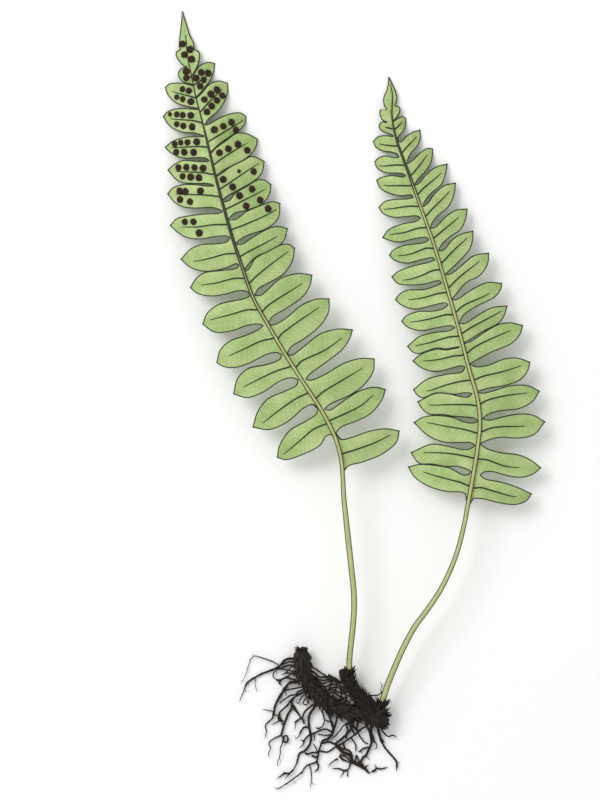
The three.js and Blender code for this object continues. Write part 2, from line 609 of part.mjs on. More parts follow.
// The rhizome with its branch, scales, pegs and roots, fused as it grew
function rhizomeSolid(fronds) {
  const main = thickLine(RHIZOME);
  const branch = thickLine(BRANCH);
  const coreLine = [];
  for (const line of [main, branch]) {
    for (let i = 0; i <= CORE_SAMPLES; i += 1) coreLine.push(line.route(i / CORE_SAMPLES).setZ(0));
  }
  const stalkLine = fronds.flatMap(([frond, spine]) => (
    Array.from({ length: STALK_SAMPLES }, (_, i) => stalkCentre(frond, spine, spine.length - i))));
  const pieces = [
    taperedTube(main.route, main.radiusAt, CORE_SIDES, CORE_STEPS),
    taperedTube(branch.route, branch.radiusAt, CORE_SIDES, BRANCH_STEPS),
    ...scaleCoat(main, MAIN_SEED, stalkLine),
    ...scaleCoat(branch, BRANCH_SEED, stalkLine),
    ...OLD_PEGS.map(oldPeg),
    ...fronds.map(([frond, spine]) => frondPeg(frond, spine)),
    ...ROOTS.map((route) => rootSolid(route, coreLine, ROOT_RADIUS, true)),
    ...ROOTLETS.map((route) => rootSolid(route, coreLine, ROOTLET_RADIUS, false)),
  ];
  // What would reach below the surface is cut off, which gives the rhizome a flat spot to lie on
  const below = new THREE.BoxGeometry(CUT_SIZE, CUT_SIZE, CUT_DEPTH);
  below.translate(0, CUT_CENTRE, -CUT_DEPTH / 2);
  return onePiece(join(pieces).subtract(solidOf(below)));
}

const fertileSpine = spineOf(FERTILE);
const sterileSpine = spineOf(STERILE);
const leafLook = { color: 0x8fae74, roughness: 0.65, metalness: 0 };
const stalkLook = { color: 0xa9a566, roughness: 0.5, metalness: 0 };
const rhizomeLook = { color: 0x2e211a, roughness: 0.9, metalness: 0 };

const group = new THREE.Group();
group.add(namedMesh('fertile_blade', bladeSolid(FERTILE, fertileSpine, SORI), leafLook));
group.add(namedMesh('fertile_stalk', stalkSolid(FERTILE, fertileSpine), stalkLook));
group.add(namedMesh('sterile_blade', bladeSolid(STERILE, sterileSpine, null), leafLook));
group.add(namedMesh('sterile_stalk', stalkSolid(STERILE, sterileSpine), stalkLook));
group.add(namedMesh(
  'rhizome_and_roots',
  rhizomeSolid([[FERTILE, fertileSpine], [STERILE, sterileSpine]]),
  rhizomeLook,
));

export default group;
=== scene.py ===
import math
import random

import bmesh
import bpy
import numpy as np
from mathutils import Matrix, Vector, noise
from mathutils.bvhtree import BVHTree


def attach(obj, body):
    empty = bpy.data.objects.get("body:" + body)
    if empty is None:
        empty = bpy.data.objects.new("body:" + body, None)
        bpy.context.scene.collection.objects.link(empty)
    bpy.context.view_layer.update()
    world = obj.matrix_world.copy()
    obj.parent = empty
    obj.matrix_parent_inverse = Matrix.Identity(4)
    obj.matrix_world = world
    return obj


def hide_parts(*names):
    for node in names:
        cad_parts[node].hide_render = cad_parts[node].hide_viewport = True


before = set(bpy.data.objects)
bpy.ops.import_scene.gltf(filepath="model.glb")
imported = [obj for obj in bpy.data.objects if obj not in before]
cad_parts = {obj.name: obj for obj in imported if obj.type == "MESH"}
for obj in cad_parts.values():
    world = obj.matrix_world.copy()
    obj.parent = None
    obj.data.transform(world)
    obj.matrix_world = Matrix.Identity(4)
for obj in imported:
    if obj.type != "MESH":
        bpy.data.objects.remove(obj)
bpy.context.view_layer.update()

# A picked western polypody that lies on a pale floor with the undersides of its fronds up.
# Measures are in millimetres, as in the solids, and MM turns them into metres on the mesh.
MM = 0.001

# Blade: its thickness, and how it runs down the stalk below the last leaflets
LEAF_THICKNESS = 0.36
FOOT_LENGTH = 7
FOOT_END_WIDTH = 0.3
FOOT_BULGE = 0.5

# A leaflet: how it droops, tilts, rises to its midvein, waves at its margins and leaves the wing
DROOP_POWER = 1.7
LOUVRE_SLOPE = 0.14
KEEL_HEIGHT = 0.3
MARGIN_RIPPLE = 0.16
MARGIN_RIPPLE_PER_MM = 0.35
MARGIN_RIPPLE_FADE = 0.3
MARGIN_RIPPLE_PHASES = (0, 6)
WING_BLEND = 5

# Where the rows and columns of the sheets lie, and how finely their edges are followed
WING_SHARES = [0, 0.25, 0.5, 0.75, 1]
LENGTH_SHARES = [
    0.015, 0.035, 0.06, 0.09, 0.13, 0.17, 0.21, 0.25, 0.3, 0.35, 0.4, 0.45, 0.5, 0.55, 0.6, 0.65, 0.7,
    0.74, 0.78, 0.82, 0.86, 0.89, 0.92, 0.945, 0.965, 0.98, 0.99, 1,
]
HALF_SHARES = [0, 0.035, 0.08, 0.16, 0.28, 0.42, 0.56, 0.7, 0.82, 0.91, 0.96, 1]
LEAFLET_STEPS = 12
LOBE_STEPS = 8
LOBE_ROWS = 50
FOOT_ROWS = 10

# Midvein of a leaflet: its half width and how much that narrows, its relief, and the fading of its end
VEIN_HALF_WIDTH = 0.3
VEIN_TAPER = 0.4
VEIN_HEIGHT = 0.16
VEIN_FADE = 0.3
VEIN_STEPS = 30
LEAST_STRETCH = 0.4
NO_VEIN = 9.0

# Side veins: their pitch, slant and fork on a leaflet, and their slant on the strips beside the rachis
VEIN_PITCH = 2.1
VEIN_SLANT = 0.75
FORK_SPREAD = 0.28
FORK_DELAY = 0.45
STRIP_SLANT = 0.5

# Bands of colour: how far from its line each band is full and where it is gone. The margin's dark band is
# partly the margin's own colour and partly painted shade along the leaf's edge. The midvein's is in half
# widths of the vein. Side veins begin to show and are full at these distances from the margin.
MARGIN_COLOUR_AND_SHADE_BAND = (0.38, 0.56)
MIDVEIN_BAND = (0.8, 1.3)
MIDVEIN_SHADE = (0.6, 3.2)
SIDE_VEIN_BAND = (0.06, 0.17)
SIDE_VEIN_START = (0.5, 1.2)
SIDE_SHADE_BAND = (0.3, 0.48)

# Stalks: rings and sides, the tip, the painted side shade (a dark line down each side, widened over the top
# near the tip), and the height over the blade
STEM_RINGS = 260
STEM_SIDES = 16
STEM_TIP_START = 1.6
STEM_TIP_LENGTH = 3
SIDE_SHADE_WIDENING = 0.45
STEM_UNDERSIDE = -0.1
HELD_GAP = 0.05
HELD_SHARE = 0.45
RELEASE_BEFORE = 18
RELEASE_LENGTH = 32
WEB_THICKNESS = 0.95
FIT_GAP = 0.3
FOOT_AIM = 3

# Spore clusters: a mound covered with spore cases, in a few patterns that are turned and sized
SORUS_RADIUS = 1.46
SORUS_HEIGHT = 0.75
MOUND_WIDTH = 0.94
MOUND_HEIGHT = 0.8
SPORE_CASE_RADIUS = 0.19
SPORE_CASES = 78
CASES_HEIGHT = 0.85
CASE_SHIFTS = (-0.05, 0.03)
CASE_TURNS = (-0.15, 0.15)
CASE_RISES = (-0.05, 0.1)
CASE_SIZES = (0.8, 1.15)
SORUS_PATTERNS = 4
SORUS_SIZES = (0.92, 1.05)
SORUS_DROP = 60
SORI_SEED = 5

# Core of the rhizome under its scales
CORE_SHARE = 0.86
CORE_STEPS = 30
CORE_RINGS = 90
CORE_SIDES = 20
BLUNT_START = 0.3
BLUNT_LENGTH = 1.8
LUMP_SIZE = 0.16
LUMP_SCALE = 0.45

# Pegs that carry the fronds, and the bases of old fronds
PEG_LENGTH = 6
PEG_RIM = 0.4
PEG_RINGS = 12
PEG_SIDES = 12
PEG_WIDTH = 1.12
PEG_FLARE = 0.09
PEG_WAVE = 0.05
PEG_WAVE_PER_MM = 4
OLD_PEG_RADII = (1.9, 1.5)
OLD_PEG_RINGS = 8
OLD_PEG_WAVE = 0.06
OLD_PEG_WAVE_STEP = 2.1
OLD_PEG_RIM = (0.93, 0.7)

# A scale: its size, its outline, its cup and curl, and how low it may lie
SCALE_THICKNESS = 0.09
SCALE_LENGTH = 3.9
SCALE_WIDTH = 1.25
SCALE_ROWS = 7
SCALE_START = 0.14
SCALE_BLUNTNESS = 0.8
SCALE_TIP = 0.03
CURL_POWER = 2.2
CUP_DEPTH = 0.25
SCALE_FLOOR = 0.08

# How the scales stand on the rhizome. Pairs are ranges, but lean and sway are a mean and a deviation.
SCALE_PITCH = 1.15
SCALE_SPACING = 1.15
FEWEST_SCALES = 6
SCALE_JITTER = (-0.3, 0.3)
SCALE_UNDERSIDE = -0.85
SCALE_LEAN = (0.3, 0.12)
SCALE_SWAY = (0, 0.3)
SCALE_DEPTH = 0.9
SCALE_LENGTHS = (0.7, 1.15)
SCALE_WIDTHS = (0.75, 1.15)
SCALE_CURLS = (-0.02, 0.2)
YOUNG_SHARE = 0.5
YOUNG_LENGTH = 5
STALK_CLEARANCE = 1.5
CLEAR_LENGTH = 8
SCALES_SEED = 21

# Ragged scales round the old end of the rhizome, and collars of scales round the feet of the stalks
NARROW_SHARE = 0.8
FRAYED_SCALES = 30
FRAYED_STATION = 0.5
FRAYED_ANGLES = (-0.3, 1.3)
FRAYED_LEANS = (0.1, 1.1)
FRAYED_DEPTH = 0.6
FRAYED_PLACES = (-0.5, 1.2)
FRAYED_LENGTHS = (0.3, 0.55)
FRAYED_CURL = 0.15
COLLAR_SCALES = 60
COLLAR_LEANS = (0.15, 0.55)
COLLAR_PLACES = (0.9, 5.6)
COLLAR_WIDTH = 1.1
COLLAR_FLARE = 0.12
COLLAR_LENGTHS = (0.55, 0.9)
COLLAR_CURL = 0.12

# Roots: their rings and sides, how uneven they are, and how they carry on or end
ROUTE_STEPS = 6
ROOT_STEP = 0.45
FEWEST_RINGS = 5
ROOT_SIDES = 8
ROOT_FULLNESS = 1.08
ROUGHNESS = 0.25
ROUGH_SCALE = 1.3
ROUGH_JITTER = (-0.05, 0.05)
ROOT_WANDER = 0.14
WANDER_FADE = 1
WANDER_SCALE = 0.7
WANDER_RANGE = (0, 50)
ROOT_OVERLAP = 0.45
FREE_END_WIDTH = 0.47
TIP_LENGTH = 1.6
TIP_SHARE = 0.3
ROOTS_SEED = 8

# How the roots come down from the rhizome and lie on the surface
CORE_REACH = 4.2
AXIS_STEPS = 8
ROOT_RADIUS = 0.42
ROOT_RIPPLE = 0.3
ROOT_RIPPLE_ACROSS = 0.45
ROOT_RIPPLE_ALONG = 0.38
ROOT_RISE = 2.2
RISE_START = 1.5
RISE_REACH = 4
ROOT_LIFT = 0.7
LIFT_FADE = 2.5
ROOT_CLEARANCE = 1.3

# Fine threads on the roots
THREAD_RADIUS = 0.1
THREAD_END_RADIUS = 0.03
THREAD_SIDES = 4
THREAD_LENGTHS = (0.8, 2.6)
THREAD_STEP = 0.5
FEWEST_THREAD_STEPS = 4
THREAD_BENDS = (-1.2, 1.2)
THREAD_TURNS = (-0.25, 0.25)
THREAD_ANGLES = (0.5, 1.3)
THREAD_SINK = 0.3
THREAD_FALL = 3
THREAD_PITCH = 16
FIRST_THREAD = 5

# Distances below which points are joined and edges dropped, and a number that keeps divisions from failing
SHEET_MERGE = 0.0005
TUBE_MERGE = 0.002
SHORTEST_EDGE = 0.0005
TINY = 1e-9

# The camera sees the picture's height of 800 pixels, centred on this place of the surface
PICTURE_HEIGHT = 800
MM_PER_PIXEL = 0.4
VIEW_CENTRE = (-21.6, 0.4)
MEAN_HEIGHT = 8
LENS = 900
SENSOR = 36

# Studio, in metres and watts
CAMERA_SIGHT = 40
FLOOR_SIZE = 30
SKY_STRENGTH = 0.8
LIGHT_PLACE = (-0.9, 0.7, 1.3)
LIGHT_SIZE = 0.9
LIGHT_POWER = 14

# The blade of each frond seen from above, measured on the picture from the tip of the frond on.
# Lobe: one side of the outline of the lobe at the tip of the frond.
# Sinuses: the innermost points between neighbours, from the lobe to the foot of the blade.
# Leaflets: the midvein from the rachis out, the upper margin from the sinus out, the tip, and the lower
# margin from the sinus out.
FERTILE_LEFT = {
    "lobe": [
        (-69, 156), (-69, 154), (-69.5, 148.8), (-70.1, 143.2), (-70.1, 141.4), (-69.6, 140.6),
        (-70.8, 140.2), (-71.4, 139.2), (-71, 137.4), (-69.6, 135.4), (-68.1, 133.9), (-67, 133.6),
    ],
    "sinuses": [
        (-67, 133.6), (-64.2, 126.2), (-62.5, 116.8), (-60.2, 105.9), (-58.3, 96), (-56.3, 86.1),
        (-52.9, 75.7), (-49.8, 65.2), (-46.3, 54.2), (-41.6, 42.5), (-36.6, 30.1), (-29.2, 18.3),
        (-22.6, 8.4), (-14.7, -3.2), (-9.2, -13.6),
    ],
    "leaflets": [
        ([(-64.6, 129.3), (-67.2, 130.2)], [(-68.2, 133.6), (-69.4, 132.9)], (-70.6, 131.3),
         [(-65.6, 126.8), (-68.1, 127.4), (-69.5, 128.7), (-70.2, 129.8)]),
        ([(-63.2, 121.2), (-67.2, 122.4), (-72.7, 123.9)], [(-66, 126.8), (-68.8, 127.4), (-72.4, 127.4),
         (-74.2, 126.9)], (-75.7, 125.6), [(-63.6, 117.1), (-67.2, 117.8), (-70.4, 118.8), (-73, 120.6),
         (-74.9, 123.2)]),
        ([(-60.6, 111.1), (-64, 112.1), (-73.4, 113)], [(-65.6, 117), (-69.6, 117.3), (-72.6, 116.8),
         (-74.8, 115.8)], (-76.6, 113.9), [(-61.6, 106.4), (-64, 107.1), (-68, 107.3), (-71.2, 108.3),
         (-73.8, 110)]),
        ([(-58.6, 101.5), (-62.4, 101.8), (-72.8, 101.4)], [(-62, 105.9), (-66.4, 105.8), (-69.6, 105.2),
         (-72.8, 104)], (-75.7, 101.6), [(-59.2, 96.9), (-61.6, 97.2), (-68, 97), (-71.6, 98.2),
         (-74, 99.8)]),
        ([(-56.6, 90.4), (-60, 91.3), (-71.1, 91.9)], [(-61.2, 95.9), (-65.2, 96.3), (-68, 96.5),
         (-71.4, 95.2)], (-74.6, 92.5), [(-58.4, 86.8), (-63.6, 86.8), (-68.4, 87.2), (-71.2, 88.6)]),
        ([(-53.9, 81.6), (-58.4, 82.3), (-71.4, 82.8)], [(-58.8, 86.1), (-63.2, 86.7), (-68.8, 86.7),
         (-72.4, 85.5)], (-74.7, 83), [(-54.8, 76.8), (-57.2, 77.2), (-64.8, 77), (-69.6, 77.9),
         (-72.6, 80.2)]),
        ([(-51, 70.5), (-56, 70.5), (-63.2, 69.6), (-69.1, 69.7)], [(-54.2, 75.2), (-59.6, 75),
         (-66.4, 74.2), (-71, 73.1)], (-73.6, 70.3), [(-51.2, 65.8), (-55.2, 65.6), (-61.6, 64.6),
         (-66.8, 65.2), (-70.8, 67.5)]),
        ([(-47, 58.9), (-51.2, 58.8), (-58.4, 56.9), (-64.4, 55.9)], [(-50.8, 63.9), (-54.4, 63.1),
         (-61.2, 62.7), (-65.6, 60.8)], (-69.4, 56.7), [(-47.2, 54.7), (-49.2, 53.8), (-52.8, 52.5),
         (-59.8, 51.7), (-65.6, 53.4)]),
        ([(-43.7, 49), (-48, 49), (-55.2, 47.2), (-61.4, 46.3)], [(-47.2, 53.2), (-52.8, 52.4),
         (-59.8, 51.5), (-63, 49.4)], (-65.6, 45.4), [(-43.2, 43.7), (-46.4, 43.9), (-51.2, 42.6),
         (-57.2, 41.8), (-62.8, 43)]),
        ([(-38.3, 36.3), (-42.4, 36.5), (-49.6, 34.5), (-57.6, 32.3)], [(-43, 41.4), (-48, 40.3),
         (-54.4, 38.7), (-59, 35)], (-60.6, 30.7), [(-38.8, 30.6), (-42.4, 30.1), (-49.6, 27.7),
         (-56, 27.5)]),
        ([(-32.4, 24.9), (-36.8, 24.1), (-44, 20.8), (-50.2, 17.9)], [(-38.8, 28.4), (-44, 26.2), (-50, 24),
         (-53.7, 20.4)], (-55, 15.4), [(-30.4, 19.1), (-34, 18.8), (-41.6, 15.1), (-47.2, 13.3),
         (-52.4, 13.7)]),
        ([(-25.6, 13.6), (-30.4, 12.3), (-37.6, 9), (-44.4, 5.4)], [(-29.8, 16.9), (-34.4, 14.9),
         (-42.8, 13), (-46.9, 8.7)], (-48.3, 2.8), [(-24.8, 9.1), (-28.8, 8.2), (-36.8, 3.1),
         (-42.8, 1.2)]),
        ([(-18.4, 3.2), (-23.2, 1), (-30.4, -4), (-36.8, -8.9)], [(-23.2, 6.4), (-28, 4), (-34.6, 1),
         (-38.6, -4)], (-40.6, -10.5), [(-16.4, -1.5), (-20, -2.9), (-26.4, -8.4), (-34, -11.6)]),
        ([(-11.2, -9.2), (-16, -11.1), (-21.6, -15.8), (-28.2, -21.2)], [(-15.2, -5), (-19.2, -7.8),
         (-25.8, -11.6), (-30, -17.8)], (-30.8, -22.6), [(-10.8, -14), (-13.6, -17.9), (-20.4, -21.5),
         (-27.2, -23.6)]),
    ],
}
FERTILE_RIGHT = {
    "lobe": [
        (-68.4, 156), (-67.9, 154), (-66.6, 149.8), (-65.6, 146.6), (-64, 143.2), (-63.6, 140.7),
        (-62.2, 140.2), (-61.6, 138.8), (-61.7, 136.8), (-62.5, 134), (-64.4, 130.3),
    ],
    "sinuses": [
        (-64.4, 130.3), (-63.1, 121.3), (-59.4, 110.6), (-57.1, 99.4), (-55.3, 89.7), (-52.6, 79.8),
        (-50.1, 72.6), (-47.1, 62.9), (-43.8, 52), (-39.4, 42.4), (-33.9, 31), (-26.4, 19), (-18.9, 8.8),
        (-11.5, -3.1), (-7, -12.8), (-3.8, -28.1),
    ],
    "leaflets": [
        ([(-63.7, 126.6), (-59.2, 130)], [(-63, 132.9), (-61.4, 134.6), (-58.4, 135.8)], (-55.6, 135.3),
         [(-61, 123.6), (-58.8, 126.3), (-57, 129.2), (-55.9, 132.4)]),
        ([(-61.5, 115.5), (-58.4, 119.2), (-52.8, 124.7)], [(-61.2, 123.1), (-58.2, 126.7), (-54.4, 128.3)],
         (-50.5, 127.4), [(-58, 112.8), (-54.4, 115.8), (-51.6, 120), (-50.3, 124.4)]),
        ([(-58.5, 103.6), (-52.8, 107.1), (-44, 112.7)], [(-58, 110.9), (-54, 113.3), (-49.2, 115.2),
         (-45.6, 115.5)], (-43, 114), [(-54.4, 102.1), (-50, 105.3), (-45.4, 108.6), (-43.5, 111.2)]),
        ([(-56.5, 94.1), (-52.8, 97), (-42.5, 103.3)], [(-55.2, 101.4), (-51.2, 104.4), (-47, 107.3),
         (-42.8, 107.1)], (-38.6, 104.9), [(-53.2, 91.4), (-48.8, 93.9), (-44.4, 96), (-40.6, 99.2),
         (-38.9, 102.2)]),
        ([(-54, 84.4), (-49.6, 87.4), (-38.1, 95)], [(-53.2, 91), (-49.6, 93.8), (-44.4, 96.4),
         (-41.4, 98), (-38.6, 97.5)], (-35.8, 95.9), [(-50.8, 81.7), (-45.2, 84.7), (-39, 88.5),
         (-36.6, 91.6)]),
        ([(-51.9, 76.3), (-47.2, 78.7), (-35.5, 84.8)], [(-50, 80.3), (-47.6, 83.2), (-43.2, 85.9),
         (-38.4, 88.7), (-35.4, 88.4)], (-33.1, 86.6), [(-47.6, 74.9), (-42.4, 76.2), (-36.2, 79),
         (-33.6, 83.2)]),
        ([(-49.1, 68.5), (-44, 70.4), (-31.1, 76.7)], [(-47.4, 72.8), (-43.2, 75.8), (-36.8, 78.6),
         (-32.6, 79.9)], (-29.5, 79.2), [(-45.2, 64.6), (-41.2, 66.5), (-34.4, 69), (-30, 73.4)]),
        ([(-45.9, 57.5), (-42.4, 59.6), (-30.5, 66)], [(-44.8, 62.9), (-40.4, 65.8), (-33.2, 69.6),
         (-29.6, 69.9)], (-26.5, 69), [(-42, 54.6), (-38.8, 57.6), (-31.6, 60.7), (-28, 64)]),
        ([(-41.9, 47), (-38.4, 50.5), (-26.1, 59.9)], [(-42.2, 52.8), (-39.8, 57), (-34.4, 60),
         (-28.8, 62.8), (-25.8, 62.8)], (-23.7, 61.2), [(-38.2, 44.7), (-34, 47.1), (-28, 50.7),
         (-24.4, 56.4)]),
        ([(-36.6, 35.8), (-34.4, 38.2), (-20.7, 47.1)], [(-37.4, 42.4), (-34.6, 44.7), (-29.6, 49.1),
         (-22.4, 51.2)], (-16.7, 50.5), [(-32.8, 33.3), (-27.2, 36.7), (-20.4, 41.6), (-17.4, 46.4)]),
        ([(-30.9, 24), (-29.2, 26.6), (-21.6, 32.3), (-13.8, 37.6)], [(-32.4, 30.6), (-28, 32.8),
         (-21.2, 38.4), (-15.2, 40.9)], (-9.9, 41), [(-25.2, 21.3), (-19.6, 24.9), (-13.6, 29.8),
         (-10, 35.6)]),
        ([(-23.4, 13), (-21.2, 15.8), (-11.6, 20.4), (-4.6, 25.4)], [(-25.2, 18.4), (-20.4, 21.8),
         (-13.6, 27), (-6.4, 29)], (-0.5, 28.6), [(-17.8, 10.4), (-11.6, 15), (-4.4, 20.7), (-1.5, 25.2)]),
        ([(-15.2, 0.9), (-12.8, 3.4), (-4.4, 8.5), (3.4, 13.2)], [(-17.2, 8.5), (-12, 10.7), (-3.6, 15.5),
         (3.2, 17.3)], (8.2, 16.9), [(-9.2, -1.2), (-2.8, 1.5), (3.6, 5.8), (7.9, 12)]),
        ([(-9.8, -7.8), (-4.4, -5.4), (2.8, -1.8), (7.8, 2.4)], [(-9.6, -3.4), (-4.4, 0.2), (2.4, 4.3),
         (8.4, 5.7)], (12.7, 4.7), [(-5.2, -10.7), (1.6, -7.9), (6.8, -5.1), (11.4, 0.6)]),
        ([(-5.1, -21.2), (0.4, -19.5), (8.4, -16.6), (14.8, -13.4)], [(-5.2, -15.1), (-1.2, -14.4),
         (6.4, -11.8), (13.2, -10.9)], (18.2, -11.9), [(-2.2, -26.1), (3.2, -24.6), (11.6, -21.2),
         (17.2, -16.4)]),
    ],
}
STERILE_LEFT = {
    "lobe": [
        (13.7, 129.8), (13.6, 127.2), (12.9, 124.2), (11.8, 121.6), (11.7, 119.6), (12.2, 117.8),
        (13, 116.7), (11.8, 117.1), (10.5, 116.8), (10.2, 115.2), (10.6, 113.5), (11.6, 112), (12.9, 111.6),
    ],
    "sinuses": [
        (12.9, 111.6), (15.5, 106), (17.7, 97.6), (20.4, 90.1), (23.4, 81.5), (26.3, 73.2), (29.6, 64.5),
        (32, 56.5), (34.8, 47.3), (37.3, 38.4), (40, 29.3), (41.8, 21.5), (44.1, 13.5), (46.9, 2.9),
        (49.4, -8.1), (48.1, -17.8), (46.5, -28.3), (44.4, -37.2),
    ],
    "leaflets": [
        ([(15.7, 108.8), (12.6, 109.5)], [(11.6, 111.9), (10.6, 111.4)], (9.9, 110), [(14, 106.8),
         (11.8, 107.7), (10.5, 108.6)]),
        ([(17.3, 101.9), (14.4, 102.2), (10.4, 102.9)], [(13.6, 106.3), (10.8, 106.3), (9.1, 105.5)],
         (7.5, 103.9), [(17.2, 98.5), (15.2, 99.4), (11.6, 99.9), (8.8, 101.5)]),
        ([(20.4, 94.3), (16.4, 94.4), (10.2, 94.2)], [(16, 97.6), (12.8, 98.3), (10.2, 97.6)], (8.1, 95.9),
         [(19.2, 90.8), (16.4, 91), (12.4, 91.3), (9.4, 93)]),
        ([(23.1, 86), (18.4, 86.2), (12.1, 86.4)], [(19.6, 89.8), (15.2, 90.4), (11.2, 89.7)], (9, 88.4),
         [(22.8, 82.2), (18.8, 81.9), (14.4, 82.9), (10.6, 85)]),
        ([(26, 77.7), (22, 77.9), (12, 76.8)], [(22, 81.1), (15.6, 80.8), (12.2, 79.9)], (9.9, 77.5),
         [(25.2, 73.8), (20.8, 73.6), (16, 73.3), (11.6, 74.9)]),
        ([(29.2, 69.3), (25.6, 69.1), (20.4, 67.5), (14.6, 66.5)], [(25, 72.1), (19.2, 71), (13.8, 68.7)],
         (11.4, 65.4), [(28.8, 65.2), (24.4, 64.8), (18, 63.4), (13.6, 64.3)]),
        ([(32, 60.9), (28.8, 61.1), (23.2, 59), (17.6, 58.1)], [(28.2, 63.6), (19.6, 62.3), (15.6, 60.5)],
         (14.1, 58.3), [(31.2, 57.1), (27.2, 56.4), (21.2, 55), (16.2, 56.2)]),
        ([(34.4, 52.5), (31.6, 52.2), (25.2, 49.5), (19.4, 48.4)], [(30.4, 55.8), (23.2, 54.1), (17.6, 52)],
         (15, 49.7), [(33.6, 47.9), (28.8, 46.7), (22.4, 46.2), (17.6, 46.8)]),
        ([(37, 43.4), (33.6, 43), (28, 41.4), (21.8, 40.5)], [(33, 46.4), (28, 44.8), (21.2, 44.5),
         (17.8, 42.6)], (16.5, 40.5), [(36.4, 39), (31.2, 38), (24.4, 36.6), (19, 38.2)]),
        ([(39.5, 34.4), (36.8, 34.5), (29.2, 32.6), (22.4, 31.6)], [(35.6, 37.1), (31.2, 36.1), (25.6, 36),
         (20.6, 34.1)], (19, 31.9), [(38.8, 29.9), (33.6, 29.2), (26.8, 28), (21.4, 29.4)]),
        ([(41.9, 25.9), (38, 25.6), (30.4, 23.4), (24.5, 22.1)], [(38, 28.3), (32, 27.6), (26, 25.9)],
         (21.3, 21.9), [(39.6, 21.1), (36.8, 20.6), (33.2, 21), (25.8, 18.8), (23.4, 19.5)]),
        ([(43.7, 18.2), (40, 18), (33.6, 16.6), (27.6, 16)], [(39.2, 21), (36.8, 20.6), (33.2, 20.9),
         (26.4, 18.7)], (23.4, 16), [(42.8, 13.9), (39.2, 13), (32.8, 11.6), (27.2, 13)]),
        ([(46.5, 8.3), (42.8, 7.9), (36.4, 6.3), (28.8, 3.9)], [(43, 11.8), (37.2, 10.9), (29.2, 8.9)],
         (23.7, 4.6), [(44, 3.1), (40.4, 2.5), (32.8, 3), (27.4, 1.1), (25, 2.5)]),
        ([(48.9, -2), (46.4, -1.5), (38.4, -1.4), (29.8, -1.5)], [(45.6, 1.8), (42, 2.1), (38.4, 3),
         (32.8, 3.3)], (25.4, -0.2), [(48, -7), (43.6, -6.5), (39.6, -6.3), (35.6, -5.6), (30, -5.4),
         (27.2, -3.2)]),
        ([(48.8, -12.8), (44.4, -11.4), (36.8, -10.1), (29, -8.6)], [(47.2, -8.6), (44.4, -8.3),
         (39.6, -6.4), (32.8, -5.6), (27.6, -6.3)], (23.8, -8.6), [(46.8, -16.9), (42.4, -16.8),
         (36, -16.6), (29.6, -14)]),
        ([(47.6, -22.8), (42.4, -21.6), (36.4, -20.8), (27.6, -20.6)], [(46, -19), (43.2, -19.2),
         (37.6, -17.9), (30.8, -17.1)], (22.7, -20.6), [(45.6, -27.7), (41.6, -26.3), (36.8, -26.4),
         (31.2, -25.4), (26, -25.1)]),
        ([(45.9, -34), (42.8, -32.6), (36.4, -30.9), (27.8, -28.4)], [(45.6, -29.2), (43.6, -29.3),
         (38.4, -26.7), (32, -25.5), (26, -25.2)], (21.6, -26.3), [(42.8, -36.6), (37.6, -36.4),
         (30.4, -34.5), (24, -30.4)]),
    ],
}
